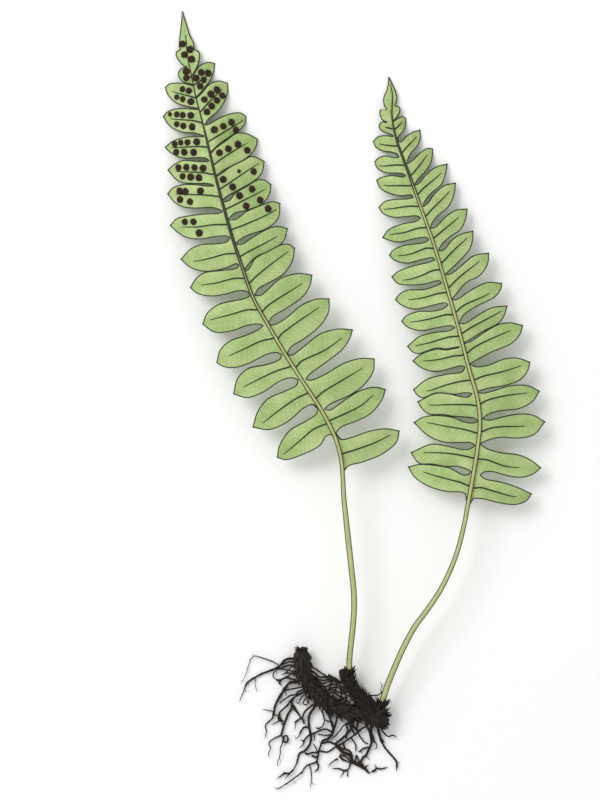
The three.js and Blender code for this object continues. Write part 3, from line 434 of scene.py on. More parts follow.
STERILE_RIGHT = {
    "lobe": [
        (14.1, 129.8), (15, 128), (16, 125.8), (17.1, 123), (17.4, 121), (17, 119.2), (16.6, 118.3),
        (18, 117.9), (18.6, 117.1), (18.5, 115.6), (17.6, 113.9), (16, 112.1),
    ],
    "sinuses": [
        (16, 112.1), (17.7, 104.3), (21.6, 95.2), (24.5, 86.6), (27.9, 78.1), (30.9, 69.3), (34.1, 60.3),
        (36.9, 50.7), (39.5, 40.7), (42.4, 31.3), (43.9, 23.1), (46.7, 14.8), (49.5, 3.7), (51.6, -7),
        (50.8, -17.1), (50.7, -29.6), (47.8, -39.1),
    ],
    "leaflets": [
        ([(16.5, 108.7), (19.2, 111.6)], [(17.2, 113), (19.2, 114)], (21, 113.3), [(18, 105.8),
         (19.8, 107.9), (20.6, 110)]),
        ([(19.1, 99.1), (21.6, 102.1), (24.9, 105.7)], [(18.8, 103.9), (20.8, 106), (23.6, 107.8)],
         (26.6, 108.7), [(21.8, 96.8), (22.8, 98.9), (25.6, 102.2), (26.7, 105.6)]),
        ([(22.9, 90.2), (25.6, 93.5), (29.3, 98.4)], [(23, 96.1), (26.4, 99.5), (29.2, 101.2)],
         (31.7, 101.1), [(25.6, 88.4), (28.8, 91.9), (31, 95.6)]),
        ([(25.4, 82.4), (27.6, 84.9), (34.9, 91.3)], [(25.8, 87.1), (28.8, 90.8), (32.8, 93.8)], (37.4, 95),
         [(28.4, 79.7), (30.8, 82.8), (35.2, 86.7), (36.7, 90.8)]),
        ([(28.7, 73.8), (30.8, 76.3), (38.1, 83.8)], [(29.2, 79), (32, 82.9), (36, 86.3)], (40.7, 87.4),
         [(31.2, 70.7), (33.2, 73.6), (37.8, 77.6), (40.3, 83.2)]),
        ([(31.9, 65.1), (34.8, 67.6), (42, 73.6)], [(32.6, 69.7), (36, 73.4), (40.4, 76.4)], (45.4, 77),
         [(35, 62.2), (38, 65.2), (42.8, 68.6), (45, 73.6)]),
        ([(35.1, 55.1), (39.6, 60), (45.2, 65.2)], [(35.6, 60.4), (39.2, 64.6), (43.2, 67.1)], (47.7, 68.1),
         [(38, 51.8), (42.8, 56.4), (46.4, 60.6), (47.7, 65.2)]),
        ([(37.7, 45), (41.6, 49.1), (50.3, 56)], [(38.8, 51.1), (42.8, 54.3), (48, 58.4)], (54, 59.3),
         [(41.2, 43), (44.8, 47.1), (50.4, 50.1), (53.6, 54.8)]),
        ([(40.4, 35.1), (43.6, 38.1), (54.2, 43.1)], [(41.2, 40.9), (46, 44.1), (53.2, 47.6)], (59.2, 47.2),
         [(43.6, 33.9), (48.4, 37.4), (56.4, 41.5), (58.9, 44.8)]),
        ([(43, 26.9), (46.8, 29.4), (58.8, 36)], [(44, 31.1), (49.6, 34.6), (55.2, 37.5)], (61.3, 38.2),
         [(46.4, 24.4), (51.2, 27.4), (58, 31.1), (60.3, 34.4)]),
        ([(45, 19), (48.4, 21.7), (62.9, 28.4)], [(46.8, 24.1), (51.6, 27.4), (58, 30.9), (63.2, 31.4)],
         (67.6, 30.3), [(48.8, 16.1), (54.4, 19.1), (63.2, 23), (66.6, 26.8)]),
        ([(48.2, 8.5), (51.6, 9.9), (59.6, 11.8), (66.8, 14.1)], [(48.8, 13.9), (53.2, 14.4), (60.4, 17.1),
         (65.6, 17.3)], (70.5, 15.6), [(53.6, 4.9), (60.8, 6.1), (66.4, 8.3), (69.6, 12)]),
        ([(50, -1.5), (53.2, 0.3), (60.4, 2.1), (69.5, 3.3)], [(51.6, 3.3), (56, 4.4), (62.8, 6.3),
         (69.6, 6.3)], (74.3, 4), [(54, -5.3), (58.4, -4.1), (66.4, -3.1), (71.6, -0.2)]),
        ([(51, -12.4), (54.4, -10.9), (59.6, -10.2), (68.8, -10)], [(54, -7.5), (59.2, -6.2), (66, -5),
         (72, -5.6)], (76.5, -8.3), [(53.6, -15.8), (58.4, -14.7), (65.6, -15), (72, -13.6)]),
        ([(49.4, -23.2), (53.2, -23.5), (59.6, -25.8), (66.2, -26.7)], [(52.8, -18.7), (58, -20.3),
         (66.4, -21.5), (70.8, -23.5)], (74.9, -26.7), [(52, -28.6), (55.2, -28.4), (60.4, -29.8),
         (66.4, -30.7), (71.6, -29.4)]),
        ([(47.7, -35.1), (50.8, -34.6), (56.4, -36.2), (65.2, -38.3)], [(52.4, -30.9), (59.2, -32.3),
         (66, -34.6)], (71.2, -37.1), [(51.2, -39.2), (57.2, -40.7), (64, -41.6), (68.8, -40.2)]),
    ],
}

# Midline: from the tip of the frond to its foot, as x, y and the height of the blade's middle surface.
# Stem: its radius at distances from the tip. Dark stem: between which distances the painted side shade,
# spread over the whole top near the tip, narrows back to the sides.
# Web end: how far from the tip the blade reaches. Droop: how far the tips of the leaflets hang down.
FERTILE = {
    "stem": [(9.5, 0.2), (42, 0.3), (56, 0.52), (105, 0.72), (195, 0.9), (225, 1.2), (270, 1.18)],
    "dark_stem": (65, 155),
    "web_end": 197,
    "droop": 7.5,
    "midline": [
        (-69, 156, 0.33), (-67.5, 147, 0.9), (-66.5, 137.5, 2.2), (-65, 130, 3.4), (-63, 120.5, 5),
        (-60.5, 111, 6.6), (-58, 100.5, 8.2), (-55.2, 89, 9.8), (-52, 77, 11.2), (-48.7, 65.5, 12.4),
        (-45, 54.3, 13.3), (-40.2, 41, 14), (-34.7, 31, 14.5), (-28, 19.6, 14.8), (-20, 7, 14.8),
        (-13, -3.8, 14.6), (-7.8, -14, 14.3), (-5.4, -22, 14),
        (-4.5, -30, 13.6), (-4.2, -37, 13.2), (-2.8, -51, 12.4), (-1.2, -65.6, 11.4), (-0.1, -76.3, 10.6),
        (0, -83.5, 10), (-0.5, -90.6, 9.1), (-1.3, -97.8, 7.8), (-1.8, -103, 6.5), (-1.9, -107.4, 5.2),
    ],
    "sides": {"left": FERTILE_LEFT, "right": FERTILE_RIGHT},
}
STERILE = {
    "stem": [(2.6, 0.2), (14, 0.28), (26, 0.5), (48, 0.68), (160, 0.9), (210, 1.05), (240, 1.2), (270, 1.28)],
    "dark_stem": (26, 60),
    "web_end": 176,
    "droop": 6,
    "midline": [
        (13.9, 129.7, 0.33), (14.7, 126.4, 0.7), (15.5, 122, 1.3), (15.2, 115.6, 2.2), (15.9, 109.2, 3.2),
        (17.7, 102.4, 4.3), (20.2, 95.7, 5.5), (23.7, 86, 7), (27.3, 75.7, 8.4), (31.4, 64.2, 9.6),
        (35.9, 49.4, 10.8), (41.3, 30.7, 11.8), (46.2, 12, 12.4), (49.3, 1.2, 12.5), (50.3, -8.7, 12.4),
        (49.3, -19.2, 12.2),
        (47.6, -29.8, 11.9), (45.8, -39.9, 11.6), (43.9, -50, 11.3), (40.6, -62.2, 10.9), (35.2, -74.4, 10.5),
        (29.2, -83.6, 10.1), (24.6, -89.8, 9.7), (21.1, -96, 9.2), (18.2, -102, 8.5), (15.6, -108.1, 7.6),
        (13.2, -114.2, 6.3), (12, -118, 5.3), (11.4, -120.4, 4.7),
    ],
    "sides": {"left": STERILE_LEFT, "right": STERILE_RIGHT},
}

# Middles of the spore clusters seen from above, with the share of full size of those that are smaller
SORI = [
    (-68.7, 142.9), (-65.6, 140.7), (-67.9, 138.6), (-65, 136.8), (-67.2, 131.9), (-67.1, 129.3),
    (-68.6, 124.8, 0.84), (-66.1, 124.1, 0.9), (-70.9, 121.6, 0.78), (-68.5, 120.8, 0.85), (-65.3, 119.8),
    (-73.6, 114.8, 0.65), (-70.9, 114.7, 0.85), (-68.5, 114.4, 0.9), (-65.3, 114.3), (-70.9, 110.8, 0.85),
    (-68.3, 110.1, 0.92), (-64.7, 109.6), (-71.7, 102.8, 0.92), (-69.3, 103.4, 0.84), (-66.6, 103.5, 0.9),
    (-62.9, 103.7), (-71.1, 99.6), (-67.9, 99.6), (-64.1, 99.5), (-70.2, 93.4), (-67, 93.5),
    (-63.8, 93.4), (-60.4, 93.1), (-68.5, 89.9), (-65.3, 89.6), (-62, 89.3),
    (-69.7, 84), (-67.4, 83.8), (-61.4, 84), (-69.6, 80.6), (-65.6, 79.7), (-67.6, 71.7),
    (-64.2, 71.7), (-61.9, 67.2), (-61.2, 131.5), (-58.4, 131.2), (-63.2, 129.2), (-60.2, 128.5),
    (-61.6, 126), (-54.9, 124.6), (-57.3, 122.8), (-52.7, 122.2), (-59.9, 120.6), (-54.9, 120.3),
    (-57, 118), (-58.9, 115.7), (-49.1, 111.5), (-52.3, 109.9), (-55.9, 108.5), (-47.3, 108.4),
    (-46.5, 102.7), (-50.3, 100.9), (-53.9, 99.3), (-42.8, 100.3), (-46, 91.9, 0.55), (-40.2, 91.8),
    (-52.3, 88.6), (-48.6, 85.6), (-40.8, 84.8), (-45.8, 82.1), (-37.6, 80.4), (-43.2, 78), (-34.4, 76.9),
]

# Rhizome and its branch: x, y, height of the centre and radius, from the old end to the growing end
RHIZOME = [
    (-21, -99, 4.4, 2.7), (-20.9, -101, 4, 3.2), (-20.6, -104, 3.5, 3.2), (-19.9, -108.5, 2.9, 3),
    (-18.1, -112.5, 2.6, 2.85), (-15.5, -116.3, 2.6, 2.85), (-12.2, -119.8, 2.6, 2.85),
    (-8.3, -122.3, 2.6, 2.8), (-3.7, -124, 2.6, 2.8), (0.2, -124.8, 2.7, 2.9), (4.2, -125.4, 2.9, 3.1),
    (7.9, -126.6, 3.2, 3.5), (11, -127.4, 3.5, 3.7), (13.4, -128, 3.8, 2.9),
]
BRANCH = [
    (9.6, -125, 3.3, 3.5), (6.2, -122.8, 3.4, 3.3), (3.2, -119.6, 3.6, 2.9), (0.2, -116, 4, 2.6),
    (-2, -112.2, 4.4, 2.3), (-3.1, -109.2, 4.7, 1.8),
]

# Bases of old fronds: the foot in the rhizome and the broken end
OLD_PEGS = [
    ((-3.4, -111.5, 4.2), (-5, -107.6, 5.8)),
    ((-20.8, -102.5, 3.8), (-22.2, -99.4, 5)),
    ((-20.6, -102.5, 3.8), (-20.1, -98.6, 4.8)),
    ((-9.5, -121.8, 3.6), (-8.3, -119.6, 6.4)),
]

# Roots seen from above, down to the threads at their ends: width at the start and at the end, then the route.
# One that starts within reach of the core comes out of it, and the others branch off.
ROOTS = [
    (1.01, 0.69, [(-23.2, -103), (-27.2, -103.5), (-30, -106.3), (-37.2, -109.4), (-42.4, -112.5),
     (-43.2, -113.7)]),
    (0.51, 0.23, [(-43.2, -113.7), (-46, -120.7)]),
    (0.69, 0.64, [(-23.2, -104.5), (-26, -104.4), (-29.8, -106)]),
    (0.69, 0.74, [(-22.8, -106.4), (-26, -105.8), (-29.6, -107.1), (-31.2, -107.3)]),
    (0.51, 0.37, [(-30.4, -105.6), (-32, -104.6), (-36.4, -102.9), (-39.6, -102.1), (-40.6, -102.4),
     (-41.5, -103.5)]),
    (0.32, 0.18, [(-41.5, -103.5), (-43.6, -110.2), (-45.5, -113.1)]),
    (0.32, 0.18, [(-39.4, -111.2), (-39.6, -113.4), (-38.6, -116.5)]),
    (0.6, 0.41, [(-23.2, -108.4), (-27.6, -107.5), (-31.2, -107.7), (-32.4, -110.3), (-31.8, -111.2),
     (-30.6, -111.7)]),
    (0.64, 0.46, [(-22.8, -109.8), (-25.6, -108.8), (-29.4, -109.6)]),
    (0.78, 0.69, [(-22.4, -111.8), (-26.8, -110.8), (-30, -111.7), (-31.2, -111.6)]),
    (1.2, 0.46, [(-29.2, -111.6), (-29.8, -112.8), (-28.9, -114.2)]),
    (0.6, 0.55, [(-22.8, -107.6), (-26.4, -110.2), (-27.6, -110.6)]),
    (0.55, 0.46, [(-23.2, -105.2), (-28.2, -109.6)]),
    (1.29, 0.78, [(-22.8, -112.4), (-25.2, -112.6), (-28, -115.6), (-31.5, -122), (-32.2, -125.2)]),
    (0.69, 0.32, [(-32.2, -125.2), (-32.6, -126.9), (-35.2, -129.4), (-35.5, -130.4), (-35, -132.4),
     (-35.8, -135.3)]),
    (0.69, 0.64, [(-20.8, -114.4), (-28, -115.8)]),
    (0.46, 0.28, [(-32.1, -124.3), (-36.8, -123.4)]),
    (0.37, 0.28, [(-27.4, -115.6), (-27.1, -118.8)]),
    (0.64, 0.51, [(-32.1, -125.7), (-31, -125.9)]),
    (0.87, 0.51, [(-20, -115.2), (-22, -116.2), (-23.6, -117.6), (-25.2, -117.8), (-29.8, -121)]),
    (1.01, 0.64, [(-20, -116.4), (-24.4, -119), (-26.8, -122), (-29.4, -124.3), (-30, -125.6)]),
    (1.2, 1.47, [(-30, -125.4), (-30, -126.8), (-29.4, -128)]),
    (1.1, 0.55, [(-29.6, -127.8), (-28.2, -128.3)]),
    (0.55, 0.37, [(-29.6, -127.8), (-33.1, -129.8)]),
    (1.01, 0.78, [(-24.4, -119), (-25, -120.6), (-24.7, -122), (-25, -123.3), (-26.6, -125.8),
     (-29.2, -133.8)]),
    (0.69, 0.28, [(-29.2, -133.8), (-32.4, -135.4), (-33.6, -136.4), (-34.1, -137.5), (-33.4, -138.9),
     (-34.2, -141.2), (-34, -143)]),
    (0.6, 0.28, [(-29.2, -133.8), (-28.4, -135), (-28.5, -136.4), (-29.5, -139.2), (-29.5, -141),
     (-30.6, -145.2), (-30.6, -146.5)]),
    (0.78, 0.69, [(-28.3, -136.4), (-28.2, -134.9), (-27.7, -134.1), (-26.7, -134.1), (-26.4, -135.2),
     (-26.7, -136.5), (-28, -136.5)]),
    (0.64, 0.55, [(-27.7, -129.3), (-29, -129.2)]),
    (1.29, 0.51, [(-24.6, -122), (-21, -127)]),
    (0.64, 0.87, [(-20.4, -127), (-21.8, -127.3), (-23.3, -128.5)]),
    (0.41, 0.23, [(-23.3, -128.5), (-23.8, -132.2)]),
    (0.55, 0.41, [(-19.2, -117.2), (-21, -118.4), (-21.6, -120.2), (-22.6, -121.1), (-23.1, -119.8)]),
    (0.6, 0.46, [(-18, -118), (-19.6, -119.6), (-20.4, -121.2), (-19, -121.6), (-17.8, -120.8)]),
    (0.55, 0.46, [(-17.2, -119), (-18.8, -119.8), (-18, -121.2), (-19, -120.4)]),
    (0.87, 0.69, [(-15.2, -120.8), (-19.4, -124.1), (-20.2, -125.4), (-20.5, -127), (-19.9, -129.3)]),
    (1.1, 0.83, [(-14.4, -120.8), (-17.9, -126), (-18.1, -129.6), (-17.2, -134.8), (-17.4, -136.6),
     (-18.1, -138.2), (-20, -140.3)]),
    (0.83, 0.46, [(-20, -140.3), (-21.2, -140.7), (-22.1, -141.7), (-23, -145.2), (-24.2, -147.5)]),
    (0.69, 0.74, [(-24.2, -147.5), (-25.8, -149), (-27.8, -149)]),
    (0.6, 0.32, [(-27.8, -149), (-31.1, -151.5)]),
    (0.46, 0.23, [(-25.6, -149.2), (-28.1, -151.5)]),
    (0.74, 0.6, [(-17.9, -131), (-19.4, -130.5), (-20.3, -130.9), (-21.5, -132.8)]),
    (0.51, 0.28, [(-21.5, -132.8), (-21.8, -133.8), (-23.7, -135.8)]),
    (0.64, 0.83, [(-17.2, -133.3), (-18.4, -134.1), (-20.1, -136.1)]),
    (0.55, 0.37, [(-20.1, -136.1), (-20.2, -137.3), (-22.2, -139.1)]),
    (0.41, 0.28, [(-20, -136.1), (-21.7, -135.6)]),
    (0.74, 0.69, [(-17.2, -133.4), (-11.1, -131.4), (-9, -132.5)]),
    (0.46, 0.6, [(-14.3, -133.5), (-11.2, -133.8), (-9.4, -133.5)]),
    (0.51, 0.37, [(-15.9, -133.4), (-15.8, -136.3)]),
    (0.37, 0.55, [(-16.1, -137.3), (-14.3, -140.9)]),
    (0.78, 1.01, [(-10.4, -123.2), (-8.4, -130.6)]),
    (0.78, 0.92, [(-6.8, -124.4), (-6.8, -127.2), (-7.8, -130.6)]),
    (1.38, 0.92, [(-8, -130), (-8.7, -133.2), (-10.6, -135.4)]),
    (0.83, 0.64, [(-10.6, -135.4), (-12, -135.7), (-12.8, -136.4), (-14.9, -144.4)]),
    (0.69, 0.46, [(-14.9, -144.4), (-19.6, -146.6), (-20.6, -148.5)]),
    (0.6, 0.41, [(-20.6, -148.5), (-25.6, -152.2), (-29.8, -154.9), (-31.4, -155.5)]),
    (0.74, 0.46, [(-14.8, -144.2), (-14.2, -146.4), (-14.6, -147.6), (-16.1, -148.9)]),
    (0.51, 0.23, [(-17.8, -145.6), (-17, -150), (-17.5, -155.2)]),
    (0.78, 0.69, [(-13.1, -137.1), (-10, -136.5), (-7.4, -137.5)]),
    (0.64, 0.6, [(-13.6, -140.1), (-10.5, -140.5), (-7.8, -138.7)]),
    (0.78, 0.69, [(-19.5, -140.9), (-18.8, -141.4), (-16.4, -140.7), (-14, -140.7)]),
    (0.51, 0.83, [(-16.9, -141.6), (-16, -142.5), (-15, -142.5), (-14.2, -141.8)]),
    (0.64, 0.51, [(-12.6, -123.2), (-11.8, -128), (-12.4, -129.9), (-13.4, -130.9), (-14.4, -131.2),
     (-15.2, -130.7)]),
    (0.51, 0.51, [(-11.9, -127.6), (-9.2, -128.6)]),
    (0.6, 0.41, [(-6.6, -125.2), (-4.2, -129)]),
    (0.69, 0.46, [(-0.8, -127.2), (-2.6, -129.2), (-4.1, -130), (-6.6, -133.2), (-9.2, -135.5)]),
    (1.01, 0.83, [(-0.4, -128.8), (-1.4, -131.6), (-4.4, -134.8), (-7.5, -137.2)]),
    (0.83, 0.69, [(2.8, -131.6), (-3.2, -136.2), (-6.1, -137.9)]),
    (1.47, 1.01, [(-7.6, -138), (-6.4, -138.4), (-4.6, -140.6), (-2, -141.6), (-0.6, -144.2)]),
    (0.78, 0.69, [(-5.2, -139), (-2, -139.9), (-1.1, -141), (-0.6, -142.6)]),
    (0.74, 0.6, [(-4, -136.2), (-4.1, -137.6), (-3.6, -139.2)]),
    (0.64, 0.55, [(-5.6, -141.4), (-2.6, -143), (-1.4, -144.4)]),
    (0.87, 0.51, [(-5.8, -142), (-5, -143.1), (-1.6, -144.8)]),
    (0.51, 0.32, [(-5.4, -142.8), (-4.2, -144.7)]),
    (0.74, 0.23, [(-6.5, -143.2), (-8.6, -144.5), (-10.5, -147)]),
    (0.78, 0.74, [(-1.6, -127.6), (1, -131.8)]),
    (0.83, 0.74, [(2, -126.8), (1.1, -131.8)]),
    (0.78, 0.69, [(-2.6, -127.2), (0.2, -133.4)]),
    (0.74, 0.64, [(-3.2, -128.8), (-2.6, -132), (-3.2, -133.6), (-3, -135.2)]),
    (0.78, 0.74, [(1.2, -132.4), (4.8, -130.2)]),
    (1.06, 0.92, [(4.8, -129.2), (6.1, -132), (7, -136.8), (4.7, -142)]),
    (0.92, 1.01, [(4.7, -142), (3.6, -142.8), (2.5, -145)]),
    (0.69, 0.6, [(6, -138.6), (4.2, -139), (1.9, -140.6)]),
    (0.87, 0.69, [(6.8, -130.4), (8.1, -136.3)]),
    (0.46, 0.32, [(8.1, -136.3), (9, -137.4), (9.1, -138.8), (7.7, -139.9)]),
    (0.37, 0.23, [(5, -142.1), (6.4, -143.9)]),
    (1.47, 1.29, [(-1.4, -144.5), (0.2, -144.8), (4.3, -147.1)]),
    (1.1, 0.69, [(4.3, -147.1), (5.7, -148.7)]),
    (0.69, 0.32, [(4.2, -146.7), (6.4, -145.5)]),
    (0.78, 0.64, [(1.6, -144.6), (3.4, -145.5), (4, -146.8)]),
    (0.64, 0.55, [(-1.3, -144.8), (-2.1, -147.2), (-2.8, -148)]),
    (0.87, 0.37, [(-2.6, -147.8), (-3.8, -148), (-6.4, -147.1), (-9.2, -147.4)]),
    (0.51, 0.23, [(-3.9, -148.2), (-5.7, -151.1)]),
    (0.32, 0.51, [(-2.5, -148.2), (-2.6, -150.4)]),
    (0.92, 0.41, [(7.3, -148.3), (8.4, -147.8), (8.9, -147), (10.4, -147.3), (12, -147.1), (13.7, -146.3)]),
    (0.41, 0.23, [(8.8, -147), (8.6, -146), (7.8, -145.4)]),
    (0.32, 0.32, [(5.7, -148.7), (6.6, -148.8), (7.3, -148.3)]),
    (1.24, 0.74, [(9.6, -130.4), (10.9, -136), (12.5, -139)]),
    (0.69, 0.78, [(12.5, -139), (16.9, -144.2), (17.2, -145.6)]),
    (0.78, 0.37, [(17.2, -145.6), (17, -148.3)]),
    (0.78, 0.6, [(11.1, -135), (11.4, -136.1), (12.2, -136.3)]),
    (0.55, 0.51, [(10.8, -130.8), (13.6, -134.2), (15.7, -133.8), (16.8, -134.4)]),
    (0.64, 0.51, [(1, -131.6), (3.1, -135.4), (4.8, -137), (5.7, -137.2)]),
    (0.6, 0.46, [(-1.4, -134.6), (0.7, -137.7), (0.7, -140.9)]),
    (0.51, 0.55, [(0.9, -141.8), (0.4, -144.8)]),
    (0.46, 0.6, [(1, -141.6), (2.2, -144.8)]),
    (0.69, 0.6, [(-18, -106), (-9.2, -111.4)]),
    (0.69, 0.74, [(-17.2, -108), (-13.6, -110.5), (-11.2, -110.6), (-6, -112.4)]),
    (1.1, 0.74, [(-10.3, -109.7), (-6, -112)]),
    (0.74, 0.64, [(-16.4, -110), (-13.6, -111.7), (-8.8, -111.5), (-4.4, -112.8)]),
    (0.69, 0.64, [(-15.2, -112), (-12.4, -113), (-10.4, -112.3), (-8, -112.1), (-5.2, -113.2)]),
    (0.69, 0.64, [(-14.8, -113.2), (-12, -114.4), (-7.6, -113.3), (-4.8, -114.4)]),
    (0.69, 0.6, [(-14, -114.8), (-11.2, -115.8), (-9.2, -115), (-6.4, -114.6), (-3.6, -116)]),
    (0.69, 0.6, [(-13.2, -113.6), (-10.4, -116), (-8.4, -115.5), (-6.4, -116.6), (-3.2, -117.2)]),
    (0.69, 0.6, [(-11.6, -118.4), (-9.2, -116.6), (-7.2, -117.1), (-5.2, -118.6), (-2.4, -118.8)]),
    (0.74, 0.64, [(-12, -116.4), (-9.6, -118.4), (-7.2, -119.4), (-4.8, -119.4), (-1.2, -120.8)]),
    (0.69, 0.6, [(-5.4, -114.8), (-5, -117.6), (-5.6, -120)]),
    (0.69, 0.6, [(-3.4, -116.6), (-3, -118.8), (-3.8, -121.2)]),
    (0.64, 0.6, [(-9, -112), (-9.8, -114.8), (-12, -117.6)]),
    (0.64, 0.6, [(-6.8, -112.4), (-7.4, -115.6), (-9.2, -119.2)]),
    (0.55, 0.46, [(6, -118), (9.6, -117.8), (10.9, -116.8)]),
    (0.37, 0.32, [(10.9, -116.8), (10.8, -115), (11.2, -114), (10.5, -112.4)]),
]

# FLAT takes the height from a point. SIDES says on which hand of the rachis each half of a blade lies.
FLAT = np.array([1, 1, 0])
SIDES = {"left": 1, "right": -1}


def smooth(value, end):
    """Rises from 0 at 0 to 1 at end, level at both."""
    share = np.clip(value / end, 0, 1)
    return share * share * (3 - 2 * share)


def mix(low, high, share):
    return low + (high - low) * share


def unit(vectors):
    return vectors / np.linalg.norm(vectors, axis=-1, keepdims=True)


def smooth_curve(points, steps):
    """A centripetal curve through the points, with its samples per stretch."""
    points = np.array(points, float)
    before = 2 * points[0] - points[1]
    after = 2 * points[-1] - points[-2]
    whole = np.vstack([before, points, after])
    samples = []
    for i in range(len(points) - 1):
        p0, p1, p2, p3 = whole[i:i + 4]
        d0, d1, d2 = (math.sqrt(np.linalg.norm(b - a)) for a, b in ((p0, p1), (p1, p2), (p2, p3)))
        start = ((p1 - p0) / d0 - (p2 - p0) / (d0 + d1) + (p2 - p1) / d1) * d1
        end = ((p2 - p1) / d1 - (p3 - p1) / (d1 + d2) + (p3 - p2) / d2) * d1
        for t in np.arange(steps) / steps:
            a = -3 * p1 + 3 * p2 - 2 * start - end
            b = 2 * p1 - 2 * p2 + start + end
            samples.append(p1 + start * t + a * t ** 2 + b * t ** 3)
    samples.append(points[-1])
    return np.array(samples)


class Line:
    """A curve in space that is read by the distance along it."""

    def __init__(self, points, steps=40):
        self.points = smooth_curve(points, steps)
        lengths = np.linalg.norm(np.diff(self.points, axis=0), axis=1)
        self.stations = np.concatenate([[0], np.cumsum(lengths)])
        self.length = self.stations[-1]

    def at(self, station):
        return np.stack([np.interp(station, self.stations, self.points[:, k]) for k in range(3)], axis=-1)

    def share(self, share):
        """Places at shares of the whole length."""
        return self.at(share * self.length)

    def gaps(self, place):
        """The gap between a place and each point of the curve, as seen from above."""
        return np.hypot(self.points[:, 0] - place[0], self.points[:, 1] - place[1])

    def nearest(self, place):
        """The distance along the curve at which it passes a place, as seen from above."""
        return self.stations[self.gaps(place).argmin()]

    def reach(self, place):
        """How far a place lies beside the curve, as seen from above."""
        return self.gaps(place).min()

    def along(self, station):
        """The direction in which the distance grows."""
        reach = 0.3
        first = np.clip(station - reach, 0, self.length)
        last = np.clip(station + reach, 0, self.length)
        return unit(self.at(last) - self.at(first))

    def left(self, station):
        """The left-hand side for one who walks towards the start of the curve."""
        forward = -self.along(station)
        flat = np.stack([-forward[..., 1], forward[..., 0], np.zeros_like(forward[..., 0])], axis=-1)
        return unit(flat)


def stem_radius(frond, station):
    return np.interp(station, *zip(*frond["stem"]))


class Leaflet:
    """The middle surface of one leaflet, spanned between its midvein and its margins.

    Along it runs from the wing beside the rachis, at 0, to the tip, at 1.
    Across runs from the lower margin, at -1, to the upper one, at 1.
    """

    def __init__(self, frond, spine, sinuses, row):
        vein, upper, tip, lower = row
        self.frond, self.spine = frond, spine
        self.stations = [spine.nearest(place) for place in (sinuses[1], vein[0], sinuses[0])]
        self.root = spine.at(self.stations[1])
        drawn = Line(flat(vein), LEAFLET_STEPS)
        wing = np.mean([spine.reach(sinus) for sinus in sinuses])
        beside = np.array([spine.reach(place) for place in drawn.points])
        first = min(int((beside < wing).sum()), len(beside) // 2)
        beyond = drawn.stations[first] + LEAST_STRETCH
        rest = [place for place in vein[1:] if drawn.nearest(place) > beyond]
        start = drawn.points[first]
        self.upper = Line(flat([sinuses[0]] + upper + [tip]), LEAFLET_STEPS)
        self.lower = Line(flat([sinuses[1]] + lower + [tip]), LEAFLET_STEPS)
        self.vein = Line(flat([start] + rest + [tip]), LEAFLET_STEPS)
        self.vein_end = self.vein.nearest(vein[-1]) / self.vein.length
        forward = -spine.along(self.stations[1])
        self.slope = forward[2] / math.hypot(forward[0], forward[1])
        self.forward = unit(forward * FLAT)
        self.phase = random.Random(tip[1]).uniform(*MARGIN_RIPPLE_PHASES)

    def rachis_spot(self, across):
        return self.spine.at(np.interp(across, (-1, 0, 1), self.stations))

    def half_width(self, along, across):
        margin = np.where(across[:, None] > 0, self.upper.share(along), self.lower.share(along))
        return margin - self.vein.share(along)

    def spot(self, along, across, wing_share):
        """Places on the middle surface, in millimetres.

        Where wing_share is below 1, it says how far out on the wing they lie.
        """
        half = self.half_width(along, across)
        place = self.vein.share(along) + half * np.abs(across)[:, None]
        width = np.linalg.norm(half, axis=1)
        length = along * self.vein.length
        rachis = self.rachis_spot(across)
        place = mix(rachis * FLAT, place, wing_share[:, None])
        rise = self.slope * ((place - self.root) @ self.forward)
        droop = min(self.frond["droop"], self.root[2]) * along ** DROOP_POWER
        keel = KEEL_HEIGHT * (1 - np.abs(across))
        louvre = LOUVRE_SLOPE * across * width
        ripple = MARGIN_RIPPLE * np.sin(length * MARGIN_RIPPLE_PER_MM + self.phase) * across ** 2
        ripple = ripple * smooth(1 - along, MARGIN_RIPPLE_FADE)
        height = self.root[2] + rise - droop + louvre + keel + ripple
        height = mix(rachis[:, 2], height, smooth(length, WING_BLEND))
        ridge = VEIN_HEIGHT * np.exp(-((across * width / VEIN_HALF_WIDTH) ** 2))
        ridge = ridge * smooth(self.vein_end - along, VEIN_FADE)
        place[:, 2] = np.maximum(height, LEAF_THICKNESS / 2) + ridge
        return place


def flat(points):
    return [(point[0], point[1], 0.0) for point in points]


def leaflets_of(frond, spine, half):
    pairs = zip(half["sinuses"], half["sinuses"][1:])
    return [Leaflet(frond, spine, pair, row) for pair, row in zip(pairs, half["leaflets"])]


def distance_to_line(spots, line):
    """Distance of each spot from a line of points, as seen from above."""
    start = line[:-1, :2]
    step = line[1:, :2] - start
    to_spot = spots[:, None, :2] - start[None]
    share = np.clip((to_spot * step).sum(-1) / np.maximum((step ** 2).sum(-1), TINY), 0, 1)
    return np.linalg.norm(to_spot - share[..., None] * step, axis=-1).min(axis=1)


def new_grid(bm, columns, rows):
    """A grid's vertices with the column and the row that each is in."""
    verts = bmesh.ops.create_grid(bm, x_segments=columns - 1, y_segments=rows - 1, size=0.5)["verts"]
    column = np.array([round((vert.co.x + 0.5) * (columns - 1)) for vert in verts])
    row = np.array([round((vert.co.y + 0.5) * (rows - 1)) for vert in verts])
    return verts, column, row


def put(verts, spots, marks=()):
    """Moves vertices to their spots and writes the marks that the materials read."""
    for vert, spot in zip(verts, spots):
        vert.co = Vector(spot) * MM
    for layer, values in marks:
        for vert, value in zip(verts, values):
            vert[layer] = float(value)


def face_up(bm, verts):
    """Turns the faces of a new sheet so that they point up."""
    faces = list({face for vert in verts for face in vert.link_faces})
    for face in faces:
        face.normal_update()
    if sum(face.normal.z * face.calc_area() for face in faces) < 0:
        bmesh.ops.reverse_faces(bm, faces=faces)


